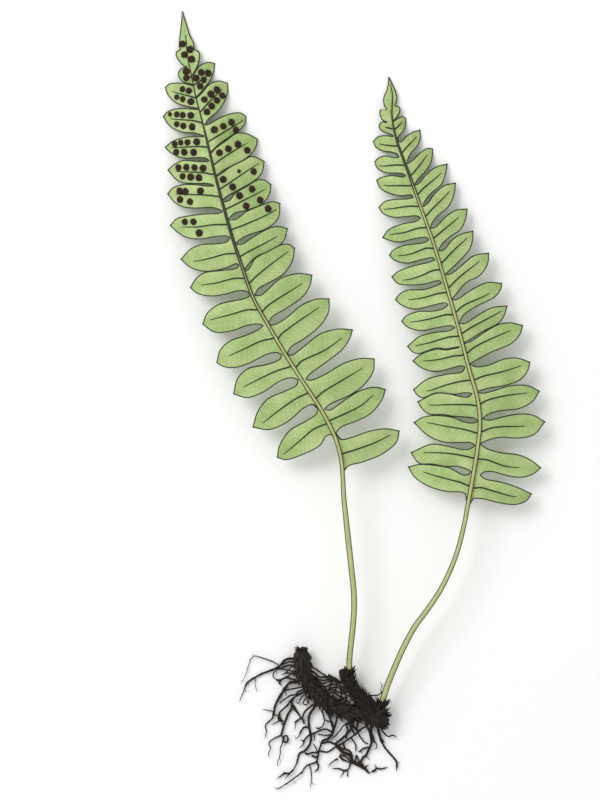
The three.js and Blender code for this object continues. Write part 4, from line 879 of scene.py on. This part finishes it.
def add_leaflet(bm, layers, leaflet):
    halves = np.array(HALF_SHARES)
    across_at = np.concatenate([-halves[:0:-1], halves])
    wing_at = np.concatenate([WING_SHARES, np.ones(len(LENGTH_SHARES))])
    along_at = np.concatenate([np.zeros(len(WING_SHARES)), LENGTH_SHARES])
    verts, column, row = new_grid(bm, len(across_at), len(along_at))
    along, across = along_at[row], across_at[column]
    spots = leaflet.spot(along, across, wing_at[row])
    outline = np.vstack([leaflet.lower.points, leaflet.upper.points[::-1]])
    vein = np.vstack([leaflet.root, leaflet.vein.share(np.linspace(0, leaflet.vein_end, VEIN_STEPS))])
    vein_half = VEIN_HALF_WIDTH * (1 - VEIN_TAPER * np.clip(along / leaflet.vein_end, 0, 1))
    put(verts, spots, [
        (layers["margin"], distance_to_line(spots, outline)),
        (layers["midvein"], distance_to_line(spots, vein) / vein_half),
        (layers["along"], along * leaflet.vein.length),
        (layers["across"], across * np.linalg.norm(leaflet.half_width(along, across), axis=1)),
    ])
    face_up(bm, verts)


def add_strip(bm, layers, spine, stations, edge_stations, edge):
    """A strip of blade from the rachis to an edge. Each point of the edge faces its station on the rachis."""
    shares = np.array(WING_SHARES)
    verts, column, row = new_grid(bm, len(shares), len(stations))
    station = stations[row]
    rachis = spine.at(station)
    reached = np.stack([np.interp(station, edge_stations, edge[:, k]) for k in range(2)], axis=-1)
    spots = rachis.copy()
    spots[:, :2] = mix(rachis[:, :2], reached, shares[column][:, None])
    spots[:, 2] = np.maximum(rachis[:, 2], LEAF_THICKNESS / 2)
    out = np.linalg.norm(spots[:, :2] - rachis[:, :2], axis=1)
    put(verts, spots, [
        (layers["margin"], distance_to_line(spots, edge)),
        (layers["midvein"], np.full(len(spots), NO_VEIN)),
        (layers["along"], out + station * STRIP_SLANT),
        (layers["across"], out),
    ])
    face_up(bm, verts)


def add_end_lobe(bm, layers, spine, outline):
    """One side of the lobe at the tip of a frond."""
    edge = Line(flat(outline), LOBE_STEPS).points
    stations = np.maximum.accumulate([spine.nearest(place) for place in edge])
    stations = np.minimum(stations, spine.nearest(edge[-1]))
    rows = np.unique(np.concatenate([np.linspace(0, stations[-1], LOBE_ROWS), stations]))
    add_strip(bm, layers, spine, rows, stations, edge)


def add_foot(bm, layers, spine, side, sinus):
    """The blade runs down the stalk below its last leaflet and ends there."""
    start = spine.nearest(sinus)
    stations = np.linspace(start, start + FOOT_LENGTH, FOOT_ROWS)
    narrowing = smooth(stations - start, FOOT_LENGTH) ** FOOT_BULGE
    reach = mix(spine.reach(sinus), FOOT_END_WIDTH, narrowing)
    edge = spine.at(stations) + spine.left(stations) * (side * reach)[:, None]
    edge[0, :2] = sinus
    add_strip(bm, layers, spine, stations, stations, edge)


def frond_blade(name, frond, spine):
    """The blade of a frond as one sheet on each side of the rachis: end lobe, leaflets and foot."""
    bm = bmesh.new()
    layers = {mark: bm.verts.layers.float.new(mark) for mark in ("margin", "midvein", "along", "across")}
    for side_name, side in SIDES.items():
        half = frond["sides"][side_name]
        done = set(bm.verts)
        add_end_lobe(bm, layers, spine, half["lobe"])
        for leaflet in leaflets_of(frond, spine, half):
            add_leaflet(bm, layers, leaflet)
        add_foot(bm, layers, spine, side, half["sinuses"][-1])
        added = [vert for vert in bm.verts if vert not in done]
        bmesh.ops.remove_doubles(bm, verts=added, dist=SHEET_MERGE * MM)
    return finish_mesh(name, bm, thickness=LEAF_THICKNESS * MM)


def finish_mesh(name, bm, thickness=None):
    """A piece from a finished bmesh, smooth shaded, and given a thickness if it is a sheet."""
    mesh = bpy.data.meshes.new(name)
    for face in bm.faces:
        face.smooth = True
    bm.to_mesh(mesh)
    bm.free()
    piece = bpy.data.objects.new(name, mesh)
    bpy.context.scene.collection.objects.link(piece)
    if thickness:
        solid = piece.modifiers.new("thickness", "SOLIDIFY")
        solid.thickness = thickness
        solid.offset = 0
    return piece


def add_tube(bm, centres, rights, ups, sides, marks=None):
    """A closed tube through rings with these centres and half axes. Each end closes on a point."""
    rings = len(centres)
    verts, column, row = new_grid(bm, sides + 1, rings + 2)
    ring = np.clip(row - 1, 0, rings - 1)
    is_end = (row == 0) | (row == rings + 1)
    angle = 2 * math.pi * column / sides
    size = np.where(is_end, 0.0, 1.0)
    spots = centres[ring] + rights[ring] * (np.cos(angle) * size)[:, None]
    spots = spots + ups[ring] * (np.sin(angle) * size)[:, None]
    put(verts, spots, marks(ring, angle) if marks else ())
    return verts


def tube_axes(centres, radii):
    """Half axes of round rings across a line of centres."""
    along = unit(np.gradient(centres, axis=0))
    right = unit(np.stack([along[:, 1], -along[:, 0], np.zeros(len(along))], axis=-1) + TINY)
    up = np.cross(right, along)
    return right * radii[:, None], up * radii[:, None]


def close_tubes(bm):
    """Closes the seams and ends of all tubes and turns their faces outwards."""
    bmesh.ops.remove_doubles(bm, verts=bm.verts, dist=TUBE_MERGE * MM)
    bmesh.ops.dissolve_degenerate(bm, edges=bm.edges, dist=SHORTEST_EDGE * MM)
    bmesh.ops.recalc_face_normals(bm, faces=bm.faces)


def frond_stalk(name, frond, spine):
    """Stipe and rachis as one tapering stem, sunk onto the sheet along the blade and free below it."""
    bm = bmesh.new()
    layers = {"painted_side_shade": bm.verts.layers.float.new("painted_side_shade")}
    stations = np.linspace(frond["stem"][0][0], spine.length, STEM_RINGS)
    tip_share = smooth(stations - stations[0] + STEM_TIP_START, STEM_TIP_LENGTH)
    radii = stem_radius(frond, stations) * tip_share
    fade_start, fade_end = frond["dark_stem"]
    dark = SIDE_SHADE_WIDENING * (1 - smooth(stations - fade_start, fade_end - fade_start))
    free_rise = WEB_THICKNESS / 2 + FIT_GAP + radii
    held_rise = HELD_GAP + HELD_SHARE * radii
    free_share = smooth(stations - (frond["web_end"] - RELEASE_BEFORE), RELEASE_LENGTH)
    centres = spine.at(stations)
    centres[:, 2] += mix(held_rise, free_rise, free_share)
    centres[:, 2] = np.maximum(centres[:, 2], radii)
    rights, ups = tube_axes(centres, radii)

    # Painted side shade: dark along both sides of the stem and, near the tip, over its whole top; the
    # underside is left without it
    def marks(ring, angle):
        painted_side_shade = radii[ring] * (1 - np.abs(np.cos(angle))) - dark[ring]
        return [(layers["painted_side_shade"], painted_side_shade + (np.sin(angle) < STEM_UNDERSIDE))]

    add_tube(bm, centres, rights, ups, STEM_SIDES, marks)
    close_tubes(bm)
    return finish_mesh(name, bm)


def add_spore_case(bm, shade_layer, place, radius, shade):
    case = bmesh.ops.create_icosphere(bm, subdivisions=1, radius=radius * MM)["verts"]
    for vert in case:
        vert.co += place * MM
        vert[shade_layer] = shade


def sorus_pattern(random_):
    """A round cluster of spore cases, heaped higher in its middle, that the sori are copied from."""
    bm = bmesh.new()
    shade_layer = bm.verts.layers.float.new("shade")
    mound = bmesh.ops.create_uvsphere(bm, u_segments=14, v_segments=6, radius=MM)["verts"]
    mound_width = SORUS_RADIUS * MOUND_WIDTH
    bmesh.ops.scale(bm, verts=mound, vec=(mound_width, mound_width, SORUS_HEIGHT * MOUND_HEIGHT))
    golden_angle = math.pi * (3 - math.sqrt(5))
    for i in range(SPORE_CASES):
        share = math.sqrt((i + 0.5) / SPORE_CASES)
        out = SORUS_RADIUS * share + random_.uniform(*CASE_SHIFTS)
        angle = i * golden_angle + random_.uniform(*CASE_TURNS)
        rise = CASES_HEIGHT * SORUS_HEIGHT * math.sqrt(1 - share ** 2) + random_.uniform(*CASE_RISES)
        place = Vector((out * math.cos(angle), out * math.sin(angle), rise))
        radius = SPORE_CASE_RADIUS * random_.uniform(*CASE_SIZES)
        add_spore_case(bm, shade_layer, place, radius, random_.random())
    pattern = bpy.data.meshes.new("sorus_pattern")
    bm.to_mesh(pattern)
    bm.free()
    return pattern


def frond_sori(name, blade):
    """The clusters, each dropped onto the blade from above and tilted with it."""
    bm = bmesh.new()
    random_ = random.Random(SORI_SEED)
    patterns = [sorus_pattern(random_) for _ in range(SORUS_PATTERNS)]
    surface = BVHTree.FromObject(blade, bpy.context.evaluated_depsgraph_get())
    for x, y, *smaller in SORI:
        spot, normal, _, _ = surface.ray_cast(Vector((x, y, SORUS_DROP)) * MM, Vector((0, 0, -1)))
        move = Matrix.Translation(spot) @ normal.to_track_quat("Z", "Y").to_matrix().to_4x4()
        size = smaller[0] if smaller else random_.uniform(*SORUS_SIZES)
        move @= Matrix.Rotation(random_.uniform(0, 2 * math.pi), 4, "Z") @ Matrix.Scale(size, 4)
        pattern = random_.choice(patterns)
        pattern.transform(move)
        bm.from_mesh(pattern)
        pattern.transform(move.inverted())
    for pattern in patterns:
        bpy.data.meshes.remove(pattern)
    return finish_mesh(name, bm)


class ThickLine:
    """A curve with a radius, both read by the distance along it."""

    def __init__(self, rows):
        self.line = Line([row[:3] for row in rows], CORE_STEPS)
        passed = np.arange(len(self.line.points)) / CORE_STEPS
        self.radii = np.interp(passed, np.arange(len(rows)), [row[3] for row in rows])
        self.length = self.line.length

    def at(self, station):
        return self.line.at(station), np.interp(station, self.line.stations, self.radii)


def ring_axes(line, station):
    """Forward, right and up of a core at a distance along it."""
    along = line.along(station)
    right = unit(np.array([along[1], -along[0], 0]))
    return along, right, np.cross(right, along)


def add_core(bm, thick):
    """The bare rhizome under its scales, uneven and with closed ends."""
    stations = np.linspace(0, thick.length, CORE_RINGS)
    centres, radii = thick.at(stations)
    from_end = np.minimum(stations, thick.length - stations)
    ends = smooth(from_end + BLUNT_START, BLUNT_LENGTH)
    lumps = np.array([1 + LUMP_SIZE * noise.noise(Vector(centre) * LUMP_SCALE) for centre in centres])
    rights, ups = tube_axes(centres, radii * ends * lumps * CORE_SHARE)
    verts = add_tube(bm, centres, rights, ups, CORE_SIDES)
    for vert in verts:
        vert.co.z = max(vert.co.z, 0)


def add_scale(bm, layers, foot, pointing, outward, length, width, curl, shade):
    """One pointed papery scale, cupped across and curled back at its tip."""
    flat = unit(np.cross(pointing, outward))
    face = np.cross(flat, pointing)
    verts, column, row = new_grid(bm, 3, SCALE_ROWS)
    share = row / (SCALE_ROWS - 1)
    side = column - 1
    outline = np.sin(np.pi * np.clip(mix(SCALE_START, 1, share), 0, 1)) ** SCALE_BLUNTNESS
    half = width / 2 * (outline + SCALE_TIP)
    lift = curl * length * share ** CURL_POWER - CUP_DEPTH * width * side ** 2 * (1 - share)
    spots = foot + pointing * (share * length)[:, None] + flat * (side * half)[:, None] + face * lift[:, None]
    spots[:, 2] = np.maximum(spots[:, 2], SCALE_FLOOR)
    put(verts, spots, [
        (layers["stripe"], np.abs(side)),
        (layers["shade"], np.full(len(share), shade)),
    ])


def add_scale_coat(bm, layers, thick, random_, clear_of):
    """Staggered rings of scales that lean towards the growing end of a core."""
    rings = int(thick.length / SCALE_PITCH)
    for ring in range(rings):
        station = thick.length * (ring + 0.5) / rings
        centre, radius = thick.at(station)
        along, right, up = ring_axes(thick.line, station)
        around = max(FEWEST_SCALES, round(2 * math.pi * radius / SCALE_SPACING))
        for i in range(around):
            angle = (i + (ring % 2) / 2 + random_.uniform(*SCALE_JITTER)) / around * 2 * math.pi
            if math.sin(angle) < SCALE_UNDERSIDE:
                continue
            outward = right * math.cos(angle) + up * math.sin(angle)
            lean = random_.gauss(*SCALE_LEAN)
            sway = random_.gauss(*SCALE_SWAY)
            sideways = np.cross(along, outward)
            pointing = unit(along * math.cos(lean) + outward * math.sin(lean) + sideways * sway)
            foot = centre + outward * radius * CORE_SHARE * SCALE_DEPTH
            growth = mix(YOUNG_SHARE, 1, smooth(thick.length - station, YOUNG_LENGTH))
            length = SCALE_LENGTH * random_.uniform(*SCALE_LENGTHS) * growth
            tip = foot + pointing * length
            if min(np.linalg.norm(clear_of - tip, axis=1)) < STALK_CLEARANCE:
                continue
            width = SCALE_WIDTH * random_.uniform(*SCALE_WIDTHS)
            curl = random_.uniform(*SCALE_CURLS)
            add_scale(bm, layers, foot, pointing, outward, length, width, curl, random_.random())


def add_frayed_end(bm, layers, thick, random_):
    """Ragged scales that stand out round the old broken end of the rhizome."""
    along, right, up = ring_axes(thick.line, FRAYED_STATION)
    centre, radius = thick.at(FRAYED_STATION)
    width = SCALE_WIDTH * NARROW_SHARE
    for _ in range(FRAYED_SCALES):
        angle = random_.uniform(*FRAYED_ANGLES) * math.pi
        outward = right * math.cos(angle) + up * math.sin(angle)
        lean = random_.uniform(*FRAYED_LEANS)
        foot = centre + outward * radius * FRAYED_DEPTH + along * random_.uniform(*FRAYED_PLACES)
        pointing = unit(outward * math.sin(lean) - along * math.cos(lean))
        length = SCALE_LENGTH * random_.uniform(*FRAYED_LENGTHS)
        add_scale(bm, layers, foot, pointing, outward, length, width, FRAYED_CURL, random_.random())


def add_collar(bm, layers, frond, spine, random_):
    """Scales that stand round the foot of a stalk."""
    foot, axis = stalk_foot(frond, spine)
    radius = stem_radius(frond, spine.length)
    right = unit(np.array([axis[1], -axis[0], 0]))
    up = np.cross(right, axis)
    width = SCALE_WIDTH * NARROW_SHARE
    for i in range(COLLAR_SCALES):
        angle = 2 * math.pi * (i + random_.uniform(*SCALE_JITTER)) / COLLAR_SCALES
        outward = right * math.cos(angle) + up * math.sin(angle)
        lean = random_.uniform(*COLLAR_LEANS)
        down = random_.uniform(*COLLAR_PLACES)
        start = foot + axis * down + outward * radius * (COLLAR_WIDTH + down * COLLAR_FLARE)
        pointing = unit(-axis * math.cos(lean) + outward * math.sin(lean))
        length = SCALE_LENGTH * random_.uniform(*COLLAR_LENGTHS)
        add_scale(bm, layers, start, pointing, outward, length, width, COLLAR_CURL, random_.random())


def stalk_foot(frond, spine):
    """The foot of the stalk and the direction in which it goes on into the rhizome."""
    stations = np.array([spine.length - FOOT_AIM, spine.length])
    centres = spine.at(stations)
    centres[:, 2] += WEB_THICKNESS / 2 + FIT_GAP + stem_radius(frond, stations)
    return centres[1], unit(centres[1] - centres[0])


def rhizome_core(name, fronds):
    bm = bmesh.new()
    for rows in (RHIZOME, BRANCH):
        add_core(bm, ThickLine(rows))
    for frond, spine in fronds:
        foot, axis = stalk_foot(frond, spine)
        steps = np.linspace(-PEG_RIM, PEG_LENGTH, PEG_RINGS)
        centres = foot + axis * steps[:, None]
        shape = PEG_WIDTH + PEG_FLARE * np.clip(steps, 0, None) + PEG_WAVE * np.sin(steps * PEG_WAVE_PER_MM)
        radii = stem_radius(frond, spine.length) * shape
        add_tube(bm, centres, *tube_axes(centres, radii), PEG_SIDES)
    for foot, end in OLD_PEGS:
        centres = mix(np.array(foot), np.array(end), np.linspace(0, 1, OLD_PEG_RINGS)[:, None])
        waves = 1 + OLD_PEG_WAVE * np.sin(np.arange(OLD_PEG_RINGS) * OLD_PEG_WAVE_STEP)
        radii = np.linspace(*OLD_PEG_RADII, OLD_PEG_RINGS) * waves
        radii[-2:] *= OLD_PEG_RIM
        add_tube(bm, centres, *tube_axes(centres, radii), PEG_SIDES)
    close_tubes(bm)
    return finish_mesh(name, bm)


def rhizome_scales(name, fronds):
    bm = bmesh.new()
    layers = {mark: bm.verts.layers.float.new(mark) for mark in ("stripe", "shade")}
    random_ = random.Random(SCALES_SEED)
    clear_of = []
    for frond, spine in fronds:
        foot, axis = stalk_foot(frond, spine)
        clear_of += [foot - axis * step for step in range(1, CLEAR_LENGTH + 1)]
    for rows in (RHIZOME, BRANCH):
        add_scale_coat(bm, layers, ThickLine(rows), random_, np.array(clear_of))
    add_frayed_end(bm, layers, ThickLine(RHIZOME), random_)
    for frond, spine in fronds:
        add_collar(bm, layers, frond, spine, random_)
    return finish_mesh(name, bm, thickness=SCALE_THICKNESS * MM)


def core_points():
    """Points of the middle line of the rhizome and its branch, as seen from above."""
    lines = [Line([row[:3] for row in rows], AXIS_STEPS) for rows in (RHIZOME, BRANCH)]
    return np.vstack([line.points * FLAT for line in lines])


def root_height(spots, core):
    """Roots come down from the rhizome and then lie on the surface with a slight ripple."""
    away = np.linalg.norm(spots[:, None, :2] - core[None, :, :2], axis=-1).min(axis=1)
    waves = np.sin(spots[:, 0] * ROOT_RIPPLE_ACROSS) * np.cos(spots[:, 1] * ROOT_RIPPLE_ALONG)
    rise = ROOT_RISE * np.exp(-np.clip(away - RISE_START, 0, None) / RISE_REACH)
    return ROOT_RADIUS + ROOT_RIPPLE * (1 + waves) + rise


def wander(spots, sizes, random_):
    """Small unevenness sideways, as in a wiry root."""
    shift = Vector((random_.uniform(*WANDER_RANGE), random_.uniform(*WANDER_RANGE), 0))
    moved = spots.copy()
    for i, spot in enumerate(spots):
        moved[i, 0] += sizes[i] * noise.noise(Vector(spot) * WANDER_SCALE + shift)
        moved[i, 1] += sizes[i] * noise.noise(Vector(spot) * WANDER_SCALE - shift)
    return moved


def add_root(bm, layers, spots, radii, sides, random_):
    """One root as an uneven tube with a shade of its own."""
    rough = np.array([1 + ROUGHNESS * noise.noise(Vector(spot) * ROUGH_SCALE) for spot in spots])
    rough += [random_.uniform(*ROUGH_JITTER) for _ in spots]
    shade = random_.random()
    rights, ups = tube_axes(spots, radii * rough)

    def marks(ring, angle):
        return [(layers["shade"], np.full(len(ring), shade))]

    add_tube(bm, spots, rights, ups, sides, marks)


def add_thread(bm, layers, start, heading, random_, core):
    """A fine short thread that leaves a root and bends as it runs over the surface."""
    length = random_.uniform(*THREAD_LENGTHS)
    steps = max(FEWEST_THREAD_STEPS, round(length / THREAD_STEP))
    bend = random_.uniform(*THREAD_BENDS)
    spots = [start]
    for _ in range(steps):
        heading += bend / steps + random_.uniform(*THREAD_TURNS)
        spots.append(spots[-1] + np.array([math.cos(heading), math.sin(heading), 0]) * length / steps)
    spots = np.array(spots)
    ground = np.maximum(root_height(spots, core) - THREAD_SINK, THREAD_RADIUS)
    spots[:, 2] = mix(start[2], ground, smooth(np.arange(len(spots)), THREAD_FALL))
    radii = np.linspace(THREAD_RADIUS, THREAD_END_RADIUS, len(spots))
    add_root(bm, layers, spots, radii, THREAD_SIDES, random_)


def roots(name):
    bm = bmesh.new()
    layers = {"shade": bm.verts.layers.float.new("shade")}
    random_ = random.Random(ROOTS_SEED)
    core = core_points()
    lines = []
    carried_on = {route[0] for _, _, route in ROOTS}
    for width, end_width, route in ROOTS:
        plan = flat(route)
        away = np.linalg.norm(core[:, :2] - np.array(route[0]), axis=1)
        if away.min() < CORE_REACH:
            plan.insert(0, tuple(core[away.argmin()]))
        if route[-1] in carried_on:
            plan.append(tuple(plan[-1] + unit(np.subtract(plan[-1], plan[-2])) * ROOT_OVERLAP))
        line = Line(plan, ROUTE_STEPS)
        stations = np.linspace(0, line.length, max(FEWEST_RINGS, round(line.length / ROOT_STEP)))
        from_end = np.minimum(stations, line.length - stations)
        spots = wander(line.at(stations), ROOT_WANDER * smooth(from_end, WANDER_FADE), random_)
        radii = np.linspace(width, end_width, len(spots)) * ROOT_FULLNESS / 2
        if end_width < FREE_END_WIDTH and route[-1] not in carried_on:
            radii *= mix(TIP_SHARE, 1, smooth(line.length - stations, TIP_LENGTH))
        lift = random_.uniform(0, ROOT_LIFT) * smooth(from_end, LIFT_FADE)
        spots[:, 2] = np.maximum(root_height(spots, core) + lift, radii * ROOT_CLEARANCE)
        lines.append(spots)
        add_root(bm, layers, spots, radii, ROOT_SIDES, random_)
    for spots in lines:
        for i in range(random_.randint(FIRST_THREAD, THREAD_PITCH), len(spots) - 2, THREAD_PITCH):
            along = spots[i + 1] - spots[i - 1]
            turn = random_.choice((-1, 1)) * random_.uniform(*THREAD_ANGLES)
            heading = math.atan2(along[1], along[0]) + turn
            add_thread(bm, layers, spots[i], heading, random_, core)
    close_tubes(bm)
    return finish_mesh(name, bm)


class Finish:
    """A material under construction: each call adds one node and returns its output socket."""

    def __init__(self, name):
        self.material = bpy.data.materials.new(name)
        self.material.use_nodes = True
        self.tree = self.material.node_tree
        self.shader = self.tree.nodes["Principled BSDF"]

    def node(self, kind, inputs=(), **settings):
        made = self.tree.nodes.new(kind)
        for key, value in settings.items():
            setattr(made, key, value)
        for key, value in dict(inputs).items():
            self.feed(made.inputs[key], value)
        return made

    def feed(self, socket, value):
        if isinstance(value, bpy.types.NodeSocket):
            self.tree.links.new(value, socket)
        else:
            socket.default_value = value

    def mark(self, name):
        return self.node("ShaderNodeAttribute", attribute_name=name).outputs["Fac"]

    def math(self, operation, first, second=0.0, third=0.0):
        return self.node("ShaderNodeMath", {0: first, 1: second, 2: third}, operation=operation).outputs[0]

    def fade(self, value, low, high, from_=0.0, to=1.0):
        """from_ where the value is low, and to where it is high, with a smooth step between."""
        inputs = {"Value": value, "From Min": low, "From Max": high, "To Min": from_, "To Max": to}
        return self.node("ShaderNodeMapRange", inputs, interpolation_type="SMOOTHSTEP").outputs["Result"]

    def noise(self, scale, detail=3.0, stretch=None):
        place = self.node("ShaderNodeTexCoord").outputs["Object"]
        if stretch:
            place = self.node("ShaderNodeMapping", {"Vector": place, "Scale": stretch}).outputs["Vector"]
        inputs = {"Vector": place, "Scale": scale, "Detail": detail}
        return self.node("ShaderNodeTexNoise", inputs).outputs["Fac"]

    def blend(self, share, first, second):
        node = self.node("ShaderNodeMix", data_type="RGBA")
        for socket, value in ((node.inputs[0], share), (node.inputs[6], first), (node.inputs[7], second)):
            self.feed(socket, value)
        return node.outputs[2]

    def set(self, **values):
        for key, value in values.items():
            self.feed(self.shader.inputs[key.replace("_", " ")], value)

    def bump(self, height, strength, distance):
        inputs = {"Height": height, "Strength": strength, "Distance": distance}
        self.set(Normal=self.node("ShaderNodeBump", inputs).outputs["Normal"])


def tone(red, green, blue):
    """A colour from its 0 to 255 screen values."""
    return tuple((value / 255) ** 2.2 for value in (red, green, blue)) + (1.0,)


def leaf_underside():
    finish = Finish("leaf_underside")
    margin = finish.mark("margin")
    midvein = finish.mark("midvein")
    along = finish.mark("along")
    across = finish.math("ABSOLUTE", finish.mark("across"))
    # Side veins leave the midvein slantwise, a pitch apart, and fork halfway to the margin
    course = finish.math("MULTIPLY_ADD", across, -VEIN_SLANT, along)
    cell = finish.math("FRACT", finish.math("DIVIDE", course, VEIN_PITCH))
    from_middle = finish.math("ABSOLUTE", finish.math("SUBTRACT", cell, 0.5))
    off_centre = finish.math("MULTIPLY", from_middle, VEIN_PITCH)
    fork = finish.math("MAXIMUM", finish.math("MULTIPLY_ADD", across, FORK_SPREAD, -FORK_DELAY), 0.0)
    from_vein = finish.math("ABSOLUTE", finish.math("SUBTRACT", off_centre, fork))
    inner = finish.fade(margin, *SIDE_VEIN_START)
    side_vein = finish.math("MULTIPLY", finish.fade(from_vein, *SIDE_VEIN_BAND, 1.0, 0.0), inner)
    patches = finish.fade(finish.noise(90.0), 0.3, 0.7)
    green = finish.blend(patches, tone(150, 177, 106), tone(178, 199, 134))
    green = finish.blend(finish.fade(across, *MIDVEIN_SHADE, 0.4, 0.0), green, tone(134, 164, 92))
    mottle = finish.fade(finish.noise(420.0, 4.0), 0.45, 0.75, 0.0, 0.45)
    green = finish.blend(mottle, green, tone(190, 206, 142))
    green = finish.blend(finish.math("MULTIPLY", side_vein, 0.35), green, tone(126, 152, 84))
    green = finish.blend(finish.fade(midvein, *MIDVEIN_BAND, 1.0, 0.0), green, tone(34, 40, 18))
    # Dark margin line: partly the margin's own darker colour, partly painted shade along the leaf's edge
    green = finish.blend(finish.fade(margin, *MARGIN_COLOUR_AND_SHADE_BAND, 1.0, 0.0), green, tone(28, 34, 16))
    finish.set(Base_Color=green, Roughness=0.62)
    grain = finish.noise(2600.0, 2.0)
    height = finish.math("MULTIPLY_ADD", side_vein, 0.5, finish.math("MULTIPLY", grain, 0.25))
    finish.bump(height, 0.6, 0.0002)
    return finish.material


def stalk_skin():
    finish = Finish("stalk_skin")
    painted_side_shade = finish.mark("painted_side_shade")
    streaks = finish.noise(600.0, 3.0, (6.0, 0.25, 6.0))
    straw = finish.blend(finish.fade(streaks, 0.3, 0.7), tone(160, 166, 102), tone(188, 188, 130))
    # Painted shade: a dark band down the sides of the stem
    straw = finish.blend(finish.fade(painted_side_shade, *SIDE_SHADE_BAND, 1.0, 0.0), straw, tone(44, 42, 22))
    finish.set(Base_Color=straw, Roughness=0.45)
    finish.bump(streaks, 0.4, 0.0001)
    return finish.material


def spore_cases():
    finish = Finish("spore_cases")
    rust = finish.blend(finish.mark("shade"), tone(30, 17, 10), tone(74, 40, 21))
    finish.set(Base_Color=rust, Roughness=0.5)
    return finish.material


def rhizome_bark():
    finish = Finish("rhizome_bark")
    patches = finish.noise(500.0, 5.0)
    brown = finish.blend(finish.fade(patches, 0.3, 0.7), tone(18, 12, 9), tone(38, 26, 18))
    finish.set(Base_Color=brown, Roughness=0.85)
    finish.bump(patches, 0.8, 0.0006)
    return finish.material


def chaffy_scales():
    finish = Finish("chaffy_scales")
    shade = finish.mark("shade")
    brown = finish.blend(shade, tone(30, 20, 14), tone(68, 44, 27))
    edge = finish.blend(finish.fade(finish.mark("stripe"), 0.4, 1.0), tone(17, 12, 9), brown)
    finish.set(Base_Color=edge, Roughness=0.7)
    return finish.material


def root_skin():
    finish = Finish("root_skin")
    rough = finish.noise(1400.0, 4.0)
    brown = finish.blend(finish.mark("shade"), tone(22, 15, 11), tone(44, 30, 21))
    brown = finish.blend(finish.fade(rough, 0.35, 0.75), brown, tone(20, 14, 11))
    finish.set(Base_Color=brown, Roughness=0.85)
    finish.bump(rough, 0.8, 0.0003)
    return finish.material


def studio_floor():
    finish = Finish("studio_floor")
    finish.set(Base_Color=(0.92, 0.92, 0.91, 1.0), Roughness=0.9)
    return finish.material


def place_piece(piece, material, slot, *nodes):
    piece.data.materials.append(material)
    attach(piece, "root")
    if nodes:
        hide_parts(*nodes)


def camera():
    """Straight above the plant, far enough away that its height hardly shifts anything."""
    data = bpy.data.cameras.new("camera")
    data.lens = LENS
    data.sensor_width = SENSOR
    seen_height = PICTURE_HEIGHT * MM_PER_PIXEL
    view = bpy.data.objects.new("camera", data)
    height = MEAN_HEIGHT + seen_height * data.lens / data.sensor_width
    view.location = Vector((VIEW_CENTRE[0], VIEW_CENTRE[1], height)) * MM
    data.clip_end = CAMERA_SIGHT
    bpy.context.scene.collection.objects.link(view)
    bpy.context.scene.camera = view


def soft_light(name, place, aim, size, power):
    data = bpy.data.lights.new(name, "AREA")
    data.size = size
    data.energy = power
    lamp = bpy.data.objects.new(name, data)
    lamp.location = place
    lamp.rotation_euler = (Vector(aim) - Vector(place)).to_track_quat("-Z", "Y").to_euler()
    bpy.context.scene.collection.objects.link(lamp)


def studio():
    bm = bmesh.new()
    bmesh.ops.create_grid(bm, x_segments=1, y_segments=1, size=FLOOR_SIZE)
    floor = finish_mesh("floor", bm)
    floor.data.materials.append(studio_floor())
    world = bpy.data.worlds.new("studio")
    world.use_nodes = True
    world.node_tree.nodes["Background"].inputs["Color"].default_value = (1.0, 1.0, 1.0, 1.0)
    world.node_tree.nodes["Background"].inputs["Strength"].default_value = SKY_STRENGTH
    bpy.context.scene.world = world
    soft_light("key_light", LIGHT_PLACE, (0, 0, 0), LIGHT_SIZE, LIGHT_POWER)
    bpy.context.scene.view_settings.view_transform = "Standard"


camera()
studio()
fertile_spine = Line(FERTILE["midline"])
sterile_spine = Line(STERILE["midline"])
fronds = [(FERTILE, fertile_spine), (STERILE, sterile_spine)]
leaf = leaf_underside()
stem = stalk_skin()
fertile_leaf = frond_blade("fertile_leaf", FERTILE, fertile_spine)
place_piece(fertile_leaf, leaf, "leaf", "fertile_blade")
place_piece(frond_blade("sterile_leaf", STERILE, sterile_spine), leaf, "leaf", "sterile_blade")
place_piece(frond_stalk("fertile_stem", FERTILE, fertile_spine), stem, "stalk", "fertile_stalk")
place_piece(frond_stalk("sterile_stem", STERILE, sterile_spine), stem, "stalk", "sterile_stalk")
place_piece(frond_sori("sori", fertile_leaf), spore_cases(), "sori")
place_piece(rhizome_core("rhizome_core", fronds), rhizome_bark(), "rhizome", "rhizome_and_roots")
place_piece(rhizome_scales("rhizome_scales", fronds), chaffy_scales(), "rhizome")
place_piece(roots("roots"), root_skin(), "rhizome")
